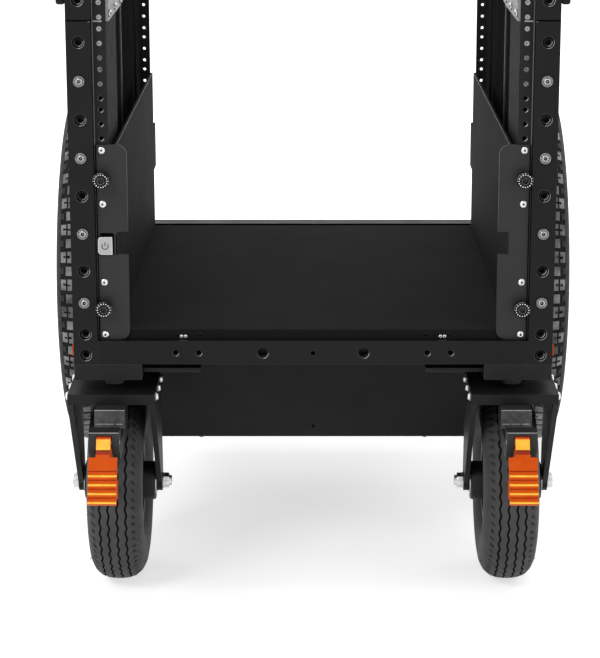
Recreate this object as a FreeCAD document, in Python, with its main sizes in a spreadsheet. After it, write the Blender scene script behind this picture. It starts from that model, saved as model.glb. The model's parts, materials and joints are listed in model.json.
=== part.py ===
import FreeCAD, Part
import math
import os

import Sketcher
from FreeCAD import Placement, Rotation, Vector

# A wheeled rack frame that carries a desktop computer on its side: an open frame of square
# tube with 19-inch rack rails, a 5-unit cradle with front ears, two braked front casters and
# two large rear wheels.  +Y runs from the front to the back, +Z is up, +X is to the right of
# someone who faces the front, and the origin is on the floor below the middle of the whole.

# Driving dimensions in millimetres and degrees; a few are counts.
SIZES = {
    # frame of square tube
    "frame_width": 536.0,
    "frame_depth": 636.0,
    "frame_height": 448.0,
    "tube": 27.0,
    "corner_height": 62.0,
    "side_rail_thickness": 10.0,
    "side_rail_height": 40.0,
    "side_rail_drop": 5.0,
    "panel_sheet": 3.0,
    # threaded holes and bolts up the posts
    "post_hole_radius": 5.0,
    "post_hole_depth": 14.0,
    "countersink_radius": 6.9,
    "countersink_depth": 1.6,
    "post_hole_first": 10.6,
    "post_hole_second": 35.0,
    "post_hole_low_step": 36.2,
    "post_hole_step": 42.5,
    "post_low_holes": 3,
    "post_high_holes": 6,
    "corner_hole_drop": 40.0,
    "post_bolt_head_radius": 6.4,
    "post_bolt_head_height": 3.0,
    "post_bolt_length": 12.0,
    "bolt_clearance": 0.05,
    # holes in the front beam
    "beam_hole_height": 13.0,
    "beam_hole_depth": 14.0,
    "beam_centre_hole_radius": 2.5,
    "beam_large_hole_radius": 6.75,
    "beam_large_hole_offset": 56.5,
    "beam_small_hole_radius": 4.0,
    "beam_small_hole_offset": 128.0,
    "beam_small_hole_gap": 26.0,
    # 19-inch rack rails
    "rack_opening": 450.0,
    "rack_hole_spacing": 465.1,
    "rack_unit": 44.45,
    "rack_hole_margin": 6.35,
    "rack_hole_gap": 15.875,
    "rack_hole_radius": 3.3,
    "rack_holes": 26,
    "rack_holes_per_unit": 3,
    "rack_dip": 0.375,
    "rail_sheet": 3.0,
    "rail_setback": 10.0,
    "front_rail_depth": 117.0,
    "rear_rail_depth": 72.0,
    "splice_sheet": 3.0,
    "splice_length": 155.0,
    "splice_height": 37.0,
    # cradle with its ears
    "ear_width": 36.0,
    "ear_side_gap": 1.8,
    "ear_units": 5,
    "ear_play": 0.75,
    "ear_sheet": 3.0,
    "ear_corner_radius": 11.0,
    "notch_width": 12.0,
    "notch_height": 26.0,
    "cradle_sheet": 3.0,
    "cradle_depth": 539.0,
    "cradle_inset": 6.0,
    "tray_rise": 11.0,
    "lip_hole_radius": 2.5,
    "lip_hole_height": 5.0,
    "lip_hole_offset": 126.0,
    "lip_hole_gap": 25.0,
    "cradle_bracket_front_lap": 29.0,
    "cradle_bracket_height": 60.0,
    "cradle_bracket_tab": 3.0,
    "cradle_bracket_tab_play": 1.0,
    "ear_screw_head_radius": 4.0,
    "ear_screw_head_height": 2.6,
    "ear_screw_length": 10.0,
    "screw_clearance": 0.1,
    "ear_screw_outer_offset": 104.775,
    "ear_screw_inner_offset": 44.45,
    "thumbscrew_offset": 73.025,
    "thumbscrew_radius": 9.4,
    "thumbscrew_height": 8.5,
    "thumbscrew_neck_radius": 6.0,
    "thumbscrew_play": 0.3,
    "thumbscrew_length": 16.0,
    # power button in the left ear
    "button_width": 16.8,
    "button_height": 20.6,
    "button_thickness": 4.5,
    "button_proud": 3.0,
    "button_edge": 2.0,
    "button_drop": 2.6,
    "button_play": 0.5,
    "button_stem_length": 12.0,
    # tray and panel screws
    "small_screw_radius": 2.0,
    "small_screw_head_height": 1.4,
    "tray_screw_offset": 143.0,
    "tray_screw_gap": 4.6,
    "tray_screw_height": 3.0,
    "panel_screw_offset": 139.0,
    "panel_screw_inset": 8.0,
    "panel_screw_radius": 4.0,
    # equipment box below the frame
    "belly_setback": 224.0,
    "belly_depth": 331.0,
    "belly_drop": 158.5,
    "belly_lap": 17.0,
    "belly_sheet": 3.0,
    "belly_hole_radius": 2.0,
    "belly_hole_height": 14.0,
    # caster mounts
    "mount_block_side": 76.0,
    "mount_block_height": 18.5,
    "mount_bar_length": 65.0,
    "mount_bar_thickness": 5.0,
    "mount_bar_rise": 5.0,
    "mount_bar_setback": 15.0,
    "mount_bar_depth": 55.0,
    "swivel_gap": 14.0,
    "swivel_play": 0.3,
    "swivel_side_inset": 41.5,
    "swivel_front_inset": 40.0,
    "swivel_bearing_radius": 11.0,
    "kingpin_radius": 8.0,
    "kingpin_reach": 13.0,
    "kingpin_end_play": 1.0,
    "running_clearance": 0.05,
    # caster forks
    "fork_width": 98.0,
    "fork_length": 100.0,
    "fork_plate": 12.0,
    "fork_rise": 124.0,
    "fork_leg": 6.0,
    "caster_trail": 51.0,
    "leg_boss_radius": 12.0,
    "leg_screw_radius": 2.4,
    "leg_screw_head_radius": 4.0,
    "leg_screw_head_height": 2.6,
    "leg_screw_length": 16.0,
    "leg_screw_gap": 35.0,
    "caster_axle_radius": 6.0,
    "axle_hexagon_radius": 9.0,
    "axle_head_height": 7.0,
    "axle_nut_height": 8.0,
    "axle_end": 3.0,
    # caster wheels
    "caster_tyre_radius": 114.5,
    "caster_tyre_shoulder": 102.5,
    "caster_tyre_shoulder_half": 28.0,
    "caster_tyre_bulge": 5.5,
    "caster_seat_radius": 52.0,
    "caster_seat_half": 20.0,
    "caster_lip": 4.5,
    "caster_rim_wall": 7.0,
    "caster_web_half": 5.0,
    "caster_hub_radius": 14.0,
    "hub_end_play": 0.5,
    "rim_gap": 0.5,
    # caster brakes
    "brake_width": 34.0,
    "brake_housing_ahead": 29.5,
    "brake_housing_drop": 22.0,
    "brake_housing_lap": 20.0,
    "brake_bracket_width": 33.0,
    "brake_bracket_ahead": 98.0,
    "brake_bracket_drop": 27.5,
    "brake_bracket_height": 23.5,
    "brake_bracket_depth": 19.5,
    "brake_arm_inset": 9.5,
    "brake_arm_drop": 38.5,
    "brake_arm_height": 18.0,
    "brake_slot_width": 17.0,
    "brake_slot_roof": 3.5,
    "brake_pin_radius": 3.0,
    "brake_pin_ahead": 92.0,
    "brake_pin_drop": 16.5,
    "pedal_lean": 27.1,
    "pedal_face": 15.0,
    "pedal_thickness": 7.0,
    "pedal_top": 18.9,
    "pedal_bottom": 70.0,
    "pedal_width": 31.0,
    "pedal_neck_width": 15.6,
    "pedal_barrel_radius": 7.0,
    "pedal_nose_face": 11.5,
    "pedal_nose_round": 8.5,
    "pedal_nose_low": 10.5,
    "pedal_neck_face": 9.0,
    "pedal_neck_step": 15.8,
    "pedal_step_slope": 1.2,
    "pedal_ribs": 4,
    "pedal_rib_pitch": 9.6,
    "pedal_rib_width": 5.2,
    "pedal_rib_height": 2.0,
    "pedal_end_land": 2.6,
    "shoe_reach": 86.0,
    "shoe_drop": 40.0,
    "shoe_half_height": 10.0,
    "shoe_arm_half": 4.5,
    "shoe_top_thickness": 3.3,
    "shoe_bottom_thickness": 7.9,
    # rear wheels
    "rear_track": 620.0,
    "rear_axle_inset": 3.0,
    "rear_tyre_radius": 250.0,
    "rear_tyre_shoulder": 239.0,
    "rear_tyre_shoulder_half": 22.5,
    "rear_tyre_bulge": 5.0,
    "rear_seat_radius": 203.0,
    "rear_seat_half": 14.0,
    "rear_lip": 4.0,
    "rear_rim_wall": 7.0,
    "rear_hub_half": 20.0,
    "rear_hub_radius": 17.0,
    "rear_flange_radius": 32.0,
    "rear_flange_thickness": 4.0,
    "rear_flange_offset": 14.0,
    "rear_spoke_radius": 2.5,
    "rear_spokes": 20,
    "spoke_play": 0.05,
    "rear_axle_radius": 10.0,
    "rear_collar_radius": 14.0,
    "rear_nut_radius": 16.0,
    "rear_nut_height": 5.0,
    "axle_inner_nut_height": 9.0,
    "axle_plate": 8.0,
    "axle_plate_boss_radius": 24.0,
    "axle_plate_depth": 60.0,
    "axle_plate_lap": 48.0,
    "axle_plate_bolt_radius": 4.0,
    "axle_plate_bolt_head_radius": 6.5,
    "axle_plate_bolt_head_height": 4.0,
    "axle_plate_bolt_margin": 12.0,
    # hand brakes of the rear wheels
    "lever_pivot_back": 333.0,
    "lever_pivot_drop": 27.0,
    "lever_pin_radius": 4.0,
    "lever_front": 150.0,
    "lever_thickness": 8.0,
    "lever_half_height": 6.0,
    "lever_play": 0.3,
    "lever_shoe_back": 9.0,
    "lever_shoe_thickness": 9.0,
    "lever_shoe_width": 21.0,
    "lever_shoe_rise": 11.0,
    "lever_shoe_height": 30.0,
    "lever_bracket_thickness": 11.0,
    "lever_bracket_depth": 24.0,
    "lever_bracket_boss": 12.0,
}

SIDES = (("left", -1), ("right", 1))
ALONG = {
    "x": Rotation(Vector(0, 1, 0), 90),
    "y": Rotation(Vector(1, 0, 0), -90),
    "z": Rotation(),
}


class Value:
    """A length or an angle, with the formula that binds it to the sheet."""

    def __init__(self, number, formula):
        self.number = number
        self.formula = formula

    def __add__(self, other):
        other = value(other)
        return Value(self.number + other.number, f"({self.formula} + {other.formula})")

    def __sub__(self, other):
        other = value(other)
        return Value(self.number - other.number, f"({self.formula} - {other.formula})")

    def __mul__(self, other):
        other = value(other)
        return Value(self.number * other.number, f"({self.formula} * {other.formula})")

    def __truediv__(self, other):
        other = value(other)
        return Value(self.number / other.number, f"({self.formula} / {other.formula})")

    def __neg__(self):
        return self * -1

    __radd__ = __add__
    __rmul__ = __mul__


def value(item):
    """The item as a Value; a plain number is its own formula."""
    if isinstance(item, Value):
        return item
    return Value(float(item), f"({float(item)})")


def sine(angle):
    return Value(math.sin(math.radians(angle.number)), f"sin({angle.formula} * 1 deg)")


def cosine(angle):
    return Value(math.cos(math.radians(angle.number)), f"cos({angle.formula} * 1 deg)")


class Sizes:
    """The sheet's cells, each read as a Value by its alias."""

    def __getattr__(self, name):
        return Value(SIZES[name], f"Sizes.{name}")


def write_sheet():
    """The spreadsheet of driving dimensions: names in column A, numbers in column B."""
    sheet = doc.addObject("Spreadsheet::Sheet", "Sizes")
    for row, (name, number) in enumerate(SIZES.items(), start=1):
        sheet.set(f"A{row}", name)
        sheet.set(f"B{row}", str(number))
        sheet.setAlias(f"B{row}", name)
    doc.recompute()


def tie(thing, **properties):
    """Bind properties of a thing to formulas; a double underscore stands for a full stop."""
    for name, amount in properties.items():
        thing.setExpression(name.replace("__", "."), value(amount).formula)


def place(name, amount):
    """Keep a worked-out place as a bound property, and return it as a Value."""
    places.addProperty("App::PropertyFloat", name)
    places.setExpression(name, amount.formula)
    return Value(amount.number, f"Places.{name}")


def label(name, thing):
    """Name a finished sub-part and list it for export."""
    thing.Label = name
    sub_parts.append(thing)
    return thing


def box(x, y, z):
    """A box given by its (low, high) pair on each axis."""
    solid = doc.addObject("Part::Box", "Box")
    tie(solid, Length=value(x[1]) - x[0], Width=value(y[1]) - y[0], Height=value(z[1]) - z[0])
    tie(solid, Placement__Base__x=x[0], Placement__Base__y=y[0], Placement__Base__z=z[0])
    return solid


def stand(solid, axis, start):
    """Turn a solid made along Z to an axis and bind its place."""
    solid.Placement = Placement(Vector(), ALONG[axis])
    tie(solid, Placement__Base__x=start[0], Placement__Base__y=start[1])
    tie(solid, Placement__Base__z=start[2])
    return solid


def rod(axis, radius, start, length):
    """A cylinder along an axis, from the centre of its lower end."""
    solid = doc.addObject("Part::Cylinder", "Rod")
    tie(solid, Radius=radius, Height=length)
    return stand(solid, axis, start)


def cone(axis, first, last, start, length):
    """A cone along an axis, from its first radius to its last."""
    solid = doc.addObject("Part::Cone", "Cone")
    tie(solid, Radius1=first, Radius2=last, Height=length)
    return stand(solid, axis, start)


def hexagon(axis, radius, start, length):
    """A six-sided prism along an axis."""
    solid = doc.addObject("Part::Prism", "Hexagon")
    solid.Polygon = 6
    tie(solid, Circumradius=radius, Height=length)
    return stand(solid, axis, start)


def fuse(*solids):
    joined = doc.addObject("Part::MultiFuse", "Joined")
    joined.Shapes = list(solids)
    return joined


def cut(base, *tools):
    """The base with every tool taken out of it."""
    rest = doc.addObject("Part::Cut", "Rest")
    rest.Base = base
    rest.Tool = tools[0] if len(tools) == 1 else fuse(*tools)
    return rest


def group(*solids):
    """Separate solids that share one sub-part."""
    together = doc.addObject("Part::Compound", "Group")
    together.Links = list(solids)
    return together


def span(sign, inner, outer):
    """The (low, high) pair of a stretch on one side of the middle plane."""
    return (inner, outer) if sign > 0 else (-value(outer), -value(inner))


def sketch_on(body, plane, offset):
    """A sketch on an origin plane of its own body, moved along the plane's normal."""
    sketch = body.newObject("Sketcher::SketchObject", "Sketch")
    support = next(item for item in body.Origin.OriginFeatures if item.Role == f"{plane}_Plane")
    sketch.AttachmentSupport = [(support, "")]
    sketch.MapMode = "FlatFace"
    tie(sketch, AttachmentOffset__Base__z=offset)
    return sketch


def arc_between(first, last, bulge, turning):
    """The arc over a chord with the given height, and its radius as a Value."""
    across, up = last[0] - first[0], last[1] - first[1]
    chord = math.hypot(across.number, up.number)
    radius = ((across * across + up * up) / 4 + bulge * bulge) / (bulge * 2)
    inward = (radius.number - bulge.number) / chord * turning
    centre = Vector(
        (first[0].number + last[0].number) / 2 - up.number * inward,
        (first[1].number + last[1].number) / 2 + across.number * inward,
        0,
    )
    ends = (first, last) if turning > 0 else (last, first)
    angles = [math.atan2(end[1].number - centre.y, end[0].number - centre.x) for end in ends]
    circle = Part.Circle(centre, Vector(0, 0, 1), radius.number)
    return Part.ArcOfCircle(circle, angles[0], angles[1]), radius


def draw(sketch, corners):
    """Draw a closed outline; a third item at a corner makes the next side an outward arc."""
    corners = [tuple(value(item) for item in corner) for corner in corners]
    following = corners[1:] + corners[:1]
    sides = list(zip(corners, following))
    area = sum(a[0].number * b[1].number - b[0].number * a[1].number for a, b in sides)
    turning = 1 if area > 0 else -1
    starts = []
    for corner, target in sides:
        if len(corner) == 3:
            edge, radius = arc_between(corner, target, corner[2], turning)
            index = sketch.addGeometry(edge, False)
            rule = sketch.addConstraint(Sketcher.Constraint("Radius", index, radius.number))
            sketch.setExpression(f"Constraints[{rule}]", radius.formula)
            starts.append((1, 2) if turning > 0 else (2, 1))
        else:
            points = [Vector(u.number, v.number, 0) for u, v in (corner[:2], target[:2])]
            sketch.addGeometry(Part.LineSegment(*points), False)
            starts.append((1, 2))
    for index, corner in enumerate(corners):
        after = (index + 1) % len(corners)
        joint = Sketcher.Constraint("Coincident", index, starts[index][1], after, starts[after][0])
        sketch.addConstraint(joint)
        for kind, item in zip(("DistanceX", "DistanceY"), corner):
            rule = Sketcher.Constraint(kind, -1, 1, index, starts[index][0], item.number)
            number = sketch.addConstraint(rule)
            sketch.setExpression(f"Constraints[{number}]", item.formula)


def plate(plane, offset, thickness, corners):
    """A body padded from an outline on an origin plane."""
    body = doc.addObject("PartDesign::Body", "Plate")
    sketch = sketch_on(body, plane, offset)
    draw(sketch, corners)
    pad = body.newObject("PartDesign::Pad", "Pad")
    pad.Profile = sketch
    tie(pad, Length=thickness)
    return body


def turned(centre, corners):
    """A body turned about the X axis through a centre; corners are (along X, radius)."""
    body = doc.addObject("PartDesign::Body", "Turned")
    sketch = sketch_on(body, "XY", 0)
    draw(sketch, corners)
    revolution = body.newObject("PartDesign::Revolution", "Revolution")
    revolution.Profile = sketch
    revolution.ReferenceAxis = (sketch, ["H_Axis"])
    revolution.Angle = 360
    tie(body, Placement__Base__x=centre[0], Placement__Base__y=centre[1])
    tie(body, Placement__Base__z=centre[2])
    return body


doc = FreeCAD.newDocument("RackFrame")
write_sheet()
places = doc.addObject("App::FeaturePython", "Places")
size = Sizes()
sub_parts = []

# Main places, worked out from the driving dimensions.
pedal_reach = place(
    "pedal_reach",
    size.brake_pin_ahead
    + size.pedal_face * cosine(size.pedal_lean)
    + size.pedal_bottom * sine(size.pedal_lean),
)
front = place(
    "front",
    (pedal_reach - size.frame_depth + size.rear_axle_inset - size.rear_tyre_radius) / 2,
)
rear = place("rear", front + size.frame_depth)
caster_axle_z = size.caster_tyre_radius
fork_bottom = place("fork_bottom", caster_axle_z + size.fork_rise)
fork_top = place("fork_top", fork_bottom + size.fork_plate)
base = place("base", fork_top + size.swivel_gap + size.mount_block_height)
deck = place("deck", base + size.tube)
top = place("top", base + size.frame_height)
seam = place("seam", top - size.corner_height)
outer_face = size.frame_width / 2
inner_face = place("inner_face", outer_face - size.tube)
rack_zero = place("rack_zero", deck - size.rack_dip)
ear_middle = place("ear_middle", rack_zero + size.rack_unit * size.ear_units / 2)
ear_half = size.rack_unit * size.ear_units / 2 - size.ear_play / 2
ear_front = place("ear_front", front + size.rail_setback - size.ear_sheet)
rail_face = front + size.rail_setback
rear_rail_face = rear - size.rail_setback
swivel_x = outer_face - size.swivel_side_inset
swivel_y = place("swivel_y", front + size.swivel_front_inset)
caster_axle_y = place("caster_axle_y", swivel_y + size.caster_trail)
rear_axle_y = place("rear_axle_y", rear - size.rear_axle_inset)
rear_axle_z = size.rear_tyre_radius
cradle_outer = place("cradle_outer", size.rack_opening / 2 - size.cradle_inset)
cradle_inner = cradle_outer - size.cradle_sheet
rack_hole_x = size.rack_hole_spacing / 2


def post_hole_heights():
    """Heights of the threaded holes up a post, from the underside of the frame."""
    heights = [size.post_hole_first]
    for index in range(SIZES["post_low_holes"]):
        heights.append(size.post_hole_second + size.post_hole_low_step * index)
    for _ in range(SIZES["post_high_holes"]):
        heights.append(heights[-1] + size.post_hole_step)
    return [base + height for height in heights]


def facing_hole(x, z, radius, depth, back):
    """A blind hole from the front face of the frame, or from its rear face."""
    start = rear - depth if back else front
    return rod("y", radius, (x, start, z), depth)


def countersink(x, z, back):
    if back:
        start = (x, rear - size.countersink_depth, z)
        return cone("y", size.post_hole_radius, size.countersink_radius, start, size.countersink_depth)
    start = (x, front, z)
    return cone("y", size.countersink_radius, size.post_hole_radius, start, size.countersink_depth)


def post(sign, back):
    """One upright of the frame, with threaded holes up its outward face."""
    y = (rear - size.tube, rear) if back else (front, front + size.tube)
    upright = box(span(sign, inner_face, outer_face), y, (base, seam))
    x = (outer_face - size.tube / 2) * sign
    tools = []
    for index, height in enumerate(post_hole_heights()):
        tools.append(facing_hole(x, height, size.post_hole_radius, size.post_hole_depth, back))
        if not holds_bolt(index):
            tools.append(countersink(x, height, back))
    return cut(upright, *tools)


def holds_bolt(index):
    """Every second hole from the third upwards holds a bolt."""
    return index >= 2 and index % 2 == 0


def post_bolt(sign, back, height):
    x = (outer_face - size.tube / 2) * sign
    reach = size.post_bolt_length
    head_height = size.post_bolt_head_height
    shank_start = rear - reach if back else front
    head_start = rear if back else front - head_height
    shank_radius = size.post_hole_radius - size.bolt_clearance
    shank = rod("y", shank_radius, (x, shank_start, height), reach)
    return fuse(shank, rod("y", size.post_bolt_head_radius, (x, head_start, height), head_height))


def frame_parts():
    """Posts, base beams, top beams, corner blocks, outer rails and side panels."""
    for name, sign in SIDES:
        label(f"front_{name}_post", post(sign, False))
    label("rear_posts", group(*[post(sign, True) for _, sign in SIDES]))
    between = (-inner_face, inner_face)
    beam = box(between, (front, front + size.tube), (base, deck))
    height = base + size.beam_hole_height
    holes = [facing_hole(0, height, size.beam_centre_hole_radius, size.beam_hole_depth, False)]
    for _, sign in SIDES:
        large_x = size.beam_large_hole_offset * sign
        radius = size.beam_large_hole_radius
        holes.append(facing_hole(large_x, height, radius, size.beam_hole_depth, False))
        for step in range(2):
            small_x = (size.beam_small_hole_offset + size.beam_small_hole_gap * step) * sign
            radius = size.beam_small_hole_radius
            holes.append(facing_hole(small_x, height, radius, size.beam_hole_depth, False))
    label("front_base_beam", cut(beam, *holes))
    inside = (front + size.tube, rear - size.tube)
    ends = ((front, front + size.tube), (rear - size.tube, rear))
    low, high = (base, deck), (top - size.tube, top)
    sides = [span(sign, inner_face, outer_face) for _, sign in SIDES]
    rear_beam = box(between, ends[1], low)
    label("base_beams", group(rear_beam, *[box(x, inside, low) for x in sides]))
    cross_beams = [box(between, y, high) for y in ends]
    label("top_beams", group(*cross_beams, *[box(x, inside, high) for x in sides]))
    blocks = [corner_block(sign, back) for _, sign in SIDES for back in (False, True)]
    label("top_corner_blocks", group(*blocks))
    rail_top = top - size.side_rail_drop
    rail_z = (rail_top - size.side_rail_height, rail_top)
    rails = [span(sign, outer_face, outer_face + size.side_rail_thickness) for _, sign in SIDES]
    label("outer_side_rails", group(*[box(x, (front, rear), rail_z) for x in rails]))
    panels = [span(sign, inner_face, inner_face + size.panel_sheet) for _, sign in SIDES]
    label("side_panels", group(*[box(x, inside, (deck, top - size.tube)) for x in panels]))
    heights = post_hole_heights()
    bolts = [
        post_bolt(sign, back, heights[index])
        for _, sign in SIDES
        for back in (False, True)
        for index in range(len(heights))
        if holds_bolt(index)
    ]
    label("post_bolts", group(*bolts))


def corner_block(sign, back):
    """The block that joins a post to the top beams, with one more threaded hole."""
    y = (rear - size.tube, rear) if back else (front, front + size.tube)
    block = box(span(sign, inner_face, outer_face), y, (seam, top))
    x = (outer_face - size.tube / 2) * sign
    height = top - size.corner_hole_drop
    hole = facing_hole(x, height, size.post_hole_radius, size.post_hole_depth, back)
    return cut(block, hole, countersink(x, height, back))


def front_rail_corners(sign, inner, outer, sheet):
    """A channel's section: the front flange, a web beside the opening and a rear flange."""
    wall = inner + sheet * sign
    face, far = rail_face, rail_face + size.front_rail_depth
    return [
        (inner, face),
        (outer, face),
        (outer, face + sheet),
        (wall, face + sheet),
        (wall, far - sheet),
        (outer, far - sheet),
        (outer, far),
        (inner, far),
    ]


def rear_rail_corners(sign, inner, outer, sheet):
    """An angle's section: the rear flange and a web along the posts."""
    wall = outer - sheet * sign
    far = rear_rail_face - size.rear_rail_depth
    return [
        (inner, rear_rail_face),
        (outer, rear_rail_face),
        (outer, far),
        (wall, far),
        (wall, rear_rail_face - sheet),
        (inner, rear_rail_face - sheet),
    ]


def rack_rail(sign, back):
    """A rack rail with the 19-inch hole pattern through its flange."""
    inner, outer = size.rack_opening / 2 * sign, inner_face * sign
    section = rear_rail_corners if back else front_rail_corners
    corners = section(sign, inner, outer, size.rail_sheet)
    rail = plate("XY", deck, top - size.tube - deck, corners)
    start = rear_rail_face - size.rail_sheet if back else rail_face
    holes = []
    for index in range(SIZES["rack_holes"]):
        unit, step = divmod(index, SIZES["rack_holes_per_unit"])
        height = rack_zero + size.rack_unit * unit + size.rack_hole_margin + size.rack_hole_gap * step
        place_of_hole = (rack_hole_x * sign, start, height)
        holes.append(rod("y", size.rack_hole_radius, place_of_hole, size.rail_sheet))
    return cut(rail, *holes)


def rack_parts():
    for name, sign in SIDES:
        label(f"front_{name}_rack_rail", rack_rail(sign, False))
    label("rear_rack_rails", group(*[rack_rail(sign, True) for _, sign in SIDES]))
    face = size.rack_opening / 2
    z = (top - size.tube - size.splice_height, top - size.tube)
    y = (rail_face, rail_face + size.splice_length)
    splices = [box(span(sign, face - size.splice_sheet, face), y, z) for _, sign in SIDES]
    label("splice_plates", group(*splices))


def ear_screw_offsets():
    """Heights of an ear's four fixed screws from its middle."""
    steps = (size.ear_screw_outer_offset, size.ear_screw_inner_offset)
    return [step * way for step in steps for way in (-1, 1)]


def ear(sign, button):
    """A rack ear with rounded inner corners, a notch at mid height and its screw holes."""
    outer = (inner_face - size.ear_side_gap) * sign
    inner = (inner_face - size.ear_width) * sign
    rounded = inner + size.ear_corner_radius * sign
    notch = inner + size.notch_width * sign
    low, high = ear_middle - ear_half, ear_middle + ear_half
    notch_low, notch_high = (ear_middle + size.notch_height * way / 2 for way in (-1, 1))
    bulge = size.ear_corner_radius * (1 - math.sqrt(0.5))
    corners = [
        (outer, low),
        (rounded, low, bulge),
        (inner, low + size.ear_corner_radius),
        (inner, notch_low),
        (notch, notch_low),
        (notch, notch_high),
        (inner, notch_high),
        (inner, high - size.ear_corner_radius, bulge),
        (rounded, high),
        (outer, high),
    ]
    sheet = plate("XZ", -rail_face, size.ear_sheet, corners)
    x = rack_hole_x * sign
    offsets = ear_screw_offsets() + [size.thumbscrew_offset * way for way in (-1, 1)]
    tools = [
        rod("y", size.rack_hole_radius, (x, ear_front, ear_middle + offset), size.ear_sheet)
        for offset in offsets
    ]
    if button:
        outward = span(sign, button_inner - size.button_play, inner_face)
        z = (button_z[0] - size.button_play, button_z[1] + size.button_play)
        tools.append(box(outward, (ear_front, rail_face), z))
    return cut(sheet, *tools)


button_inner = inner_face - size.button_edge - size.button_width
button_middle = ear_middle - size.button_drop
button_z = (button_middle - size.button_height / 2, button_middle + size.button_height / 2)


def ear_screw(sign, offset):
    x = rack_hole_x * sign
    radius = size.rack_hole_radius - size.screw_clearance
    height = ear_middle + offset
    shank = rod("y", radius, (x, ear_front, height), size.ear_screw_length)
    head_start = (x, ear_front - size.ear_screw_head_height, height)
    return fuse(shank, rod("y", size.ear_screw_head_radius, head_start, size.ear_screw_head_height))


def thumbscrew(sign, way):
    """A knob before the frame's face, on a shank that turns in the ear and the rail behind it."""
    x = rack_hole_x * sign
    height = ear_middle + size.thumbscrew_offset * way
    knob_back = front - size.thumbscrew_play
    neck_back = ear_front - size.thumbscrew_play
    knob_start = (x, knob_back - size.thumbscrew_height, height)
    radius = size.rack_hole_radius - size.running_clearance
    knob = rod("y", size.thumbscrew_radius, knob_start, size.thumbscrew_height)
    neck = rod("y", size.thumbscrew_neck_radius, (x, knob_back, height), neck_back - knob_back)
    return fuse(knob, neck, rod("y", radius, (x, neck_back, height), size.thumbscrew_length))


def tray():
    """The cradle's floor, folded down at its front and rear edges onto the frame."""
    across = (-cradle_inner, cradle_inner)
    y = (rail_face, rail_face + size.cradle_depth)
    z = (deck + size.tray_rise - size.cradle_sheet, deck + size.tray_rise)
    floor = box(across, y, z)
    lips = [
        box(across, (y[0], y[0] + size.cradle_sheet), (deck, z[0])),
        box(across, (y[1] - size.cradle_sheet, y[1]), (deck, z[0])),
    ]
    holes = []
    for _, sign in SIDES:
        for step in range(2):
            x = (size.lip_hole_offset + size.lip_hole_gap * step) * sign
            start = (x, y[0], deck + size.lip_hole_height)
            holes.append(rod("y", size.lip_hole_radius, start, size.cradle_sheet))
    return cut(fuse(floor, *lips), *holes)


def cradle_parts():
    for name, sign in SIDES:
        label(f"{name}_ear", ear(sign, name == "left"))
    label("cradle_tray", tray())
    y = (rail_face, rail_face + size.cradle_depth)
    z = (deck, ear_middle + ear_half)
    sides = [span(sign, cradle_inner, cradle_outer) for _, sign in SIDES]
    label("cradle_sides", group(*[box(x, y, z) for x in sides]))
    brackets = [rear_bracket(sign, y[1] - size.cradle_bracket_front_lap) for _, sign in SIDES]
    label("cradle_rear_brackets", group(*brackets))
    screws = [ear_screw(sign, offset) for _, sign in SIDES for offset in ear_screw_offsets()]
    screws += [rear_screw(sign, way) for _, sign in SIDES for way in (-1, 1)]
    label("ear_screws", group(*screws))
    for name, sign in SIDES:
        for level, way in (("lower", -1), ("upper", 1)):
            label(f"{name}_{level}_thumbscrew", thumbscrew(sign, way))


def rear_bracket(sign, start):
    """A strap along the cradle's side with a tab that is screwed onto the rear rail."""
    seat = rear_rail_face - size.rail_sheet
    half = size.cradle_bracket_height / 2
    z = (ear_middle - half, ear_middle + half)
    tab_end = inner_face - size.rail_sheet - size.cradle_bracket_tab_play
    strap = box(span(sign, cradle_outer, size.rack_opening / 2), (start, seat), z)
    tab = box(span(sign, size.rack_opening / 2, tab_end), (seat - size.cradle_bracket_tab, seat), z)
    holes = []
    for way in (-1, 0, 1):
        height = ear_middle + size.rack_hole_gap * way
        start_of_hole = (rack_hole_x * sign, seat - size.cradle_bracket_tab, height)
        holes.append(rod("y", size.rack_hole_radius, start_of_hole, size.cradle_bracket_tab))
    return cut(fuse(strap, tab), *holes)


def rear_screw(sign, way):
    """A rack screw driven from behind through the rear rail and a cradle bracket's tab."""
    x = rack_hole_x * sign
    radius = size.rack_hole_radius - size.screw_clearance
    height = ear_middle + size.rack_hole_gap * way
    shank_start = (x, rear_rail_face - size.ear_screw_length, height)
    shank = rod("y", radius, shank_start, size.ear_screw_length)
    head_start = (x, rear_rail_face, height)
    return fuse(shank, rod("y", size.ear_screw_head_radius, head_start, size.ear_screw_head_height))


def power_button():
    """A square button whose stem slides in one hole of the left rack rail."""
    x = span(-1, button_inner, button_inner + size.button_width)
    button_front = ear_front - size.button_proud
    cap = box(x, (button_front, button_front + size.button_thickness), button_z)
    stem_radius = size.rack_hole_radius - size.running_clearance
    stem_start = (-rack_hole_x, button_front + size.button_thickness, ear_middle)
    label("power_button", fuse(cap, rod("y", stem_radius, stem_start, size.button_stem_length)))


def small_screw(axis, radius, start):
    """The head of a small screw, seated on a face."""
    return rod(axis, radius, start, size.small_screw_head_height)


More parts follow.
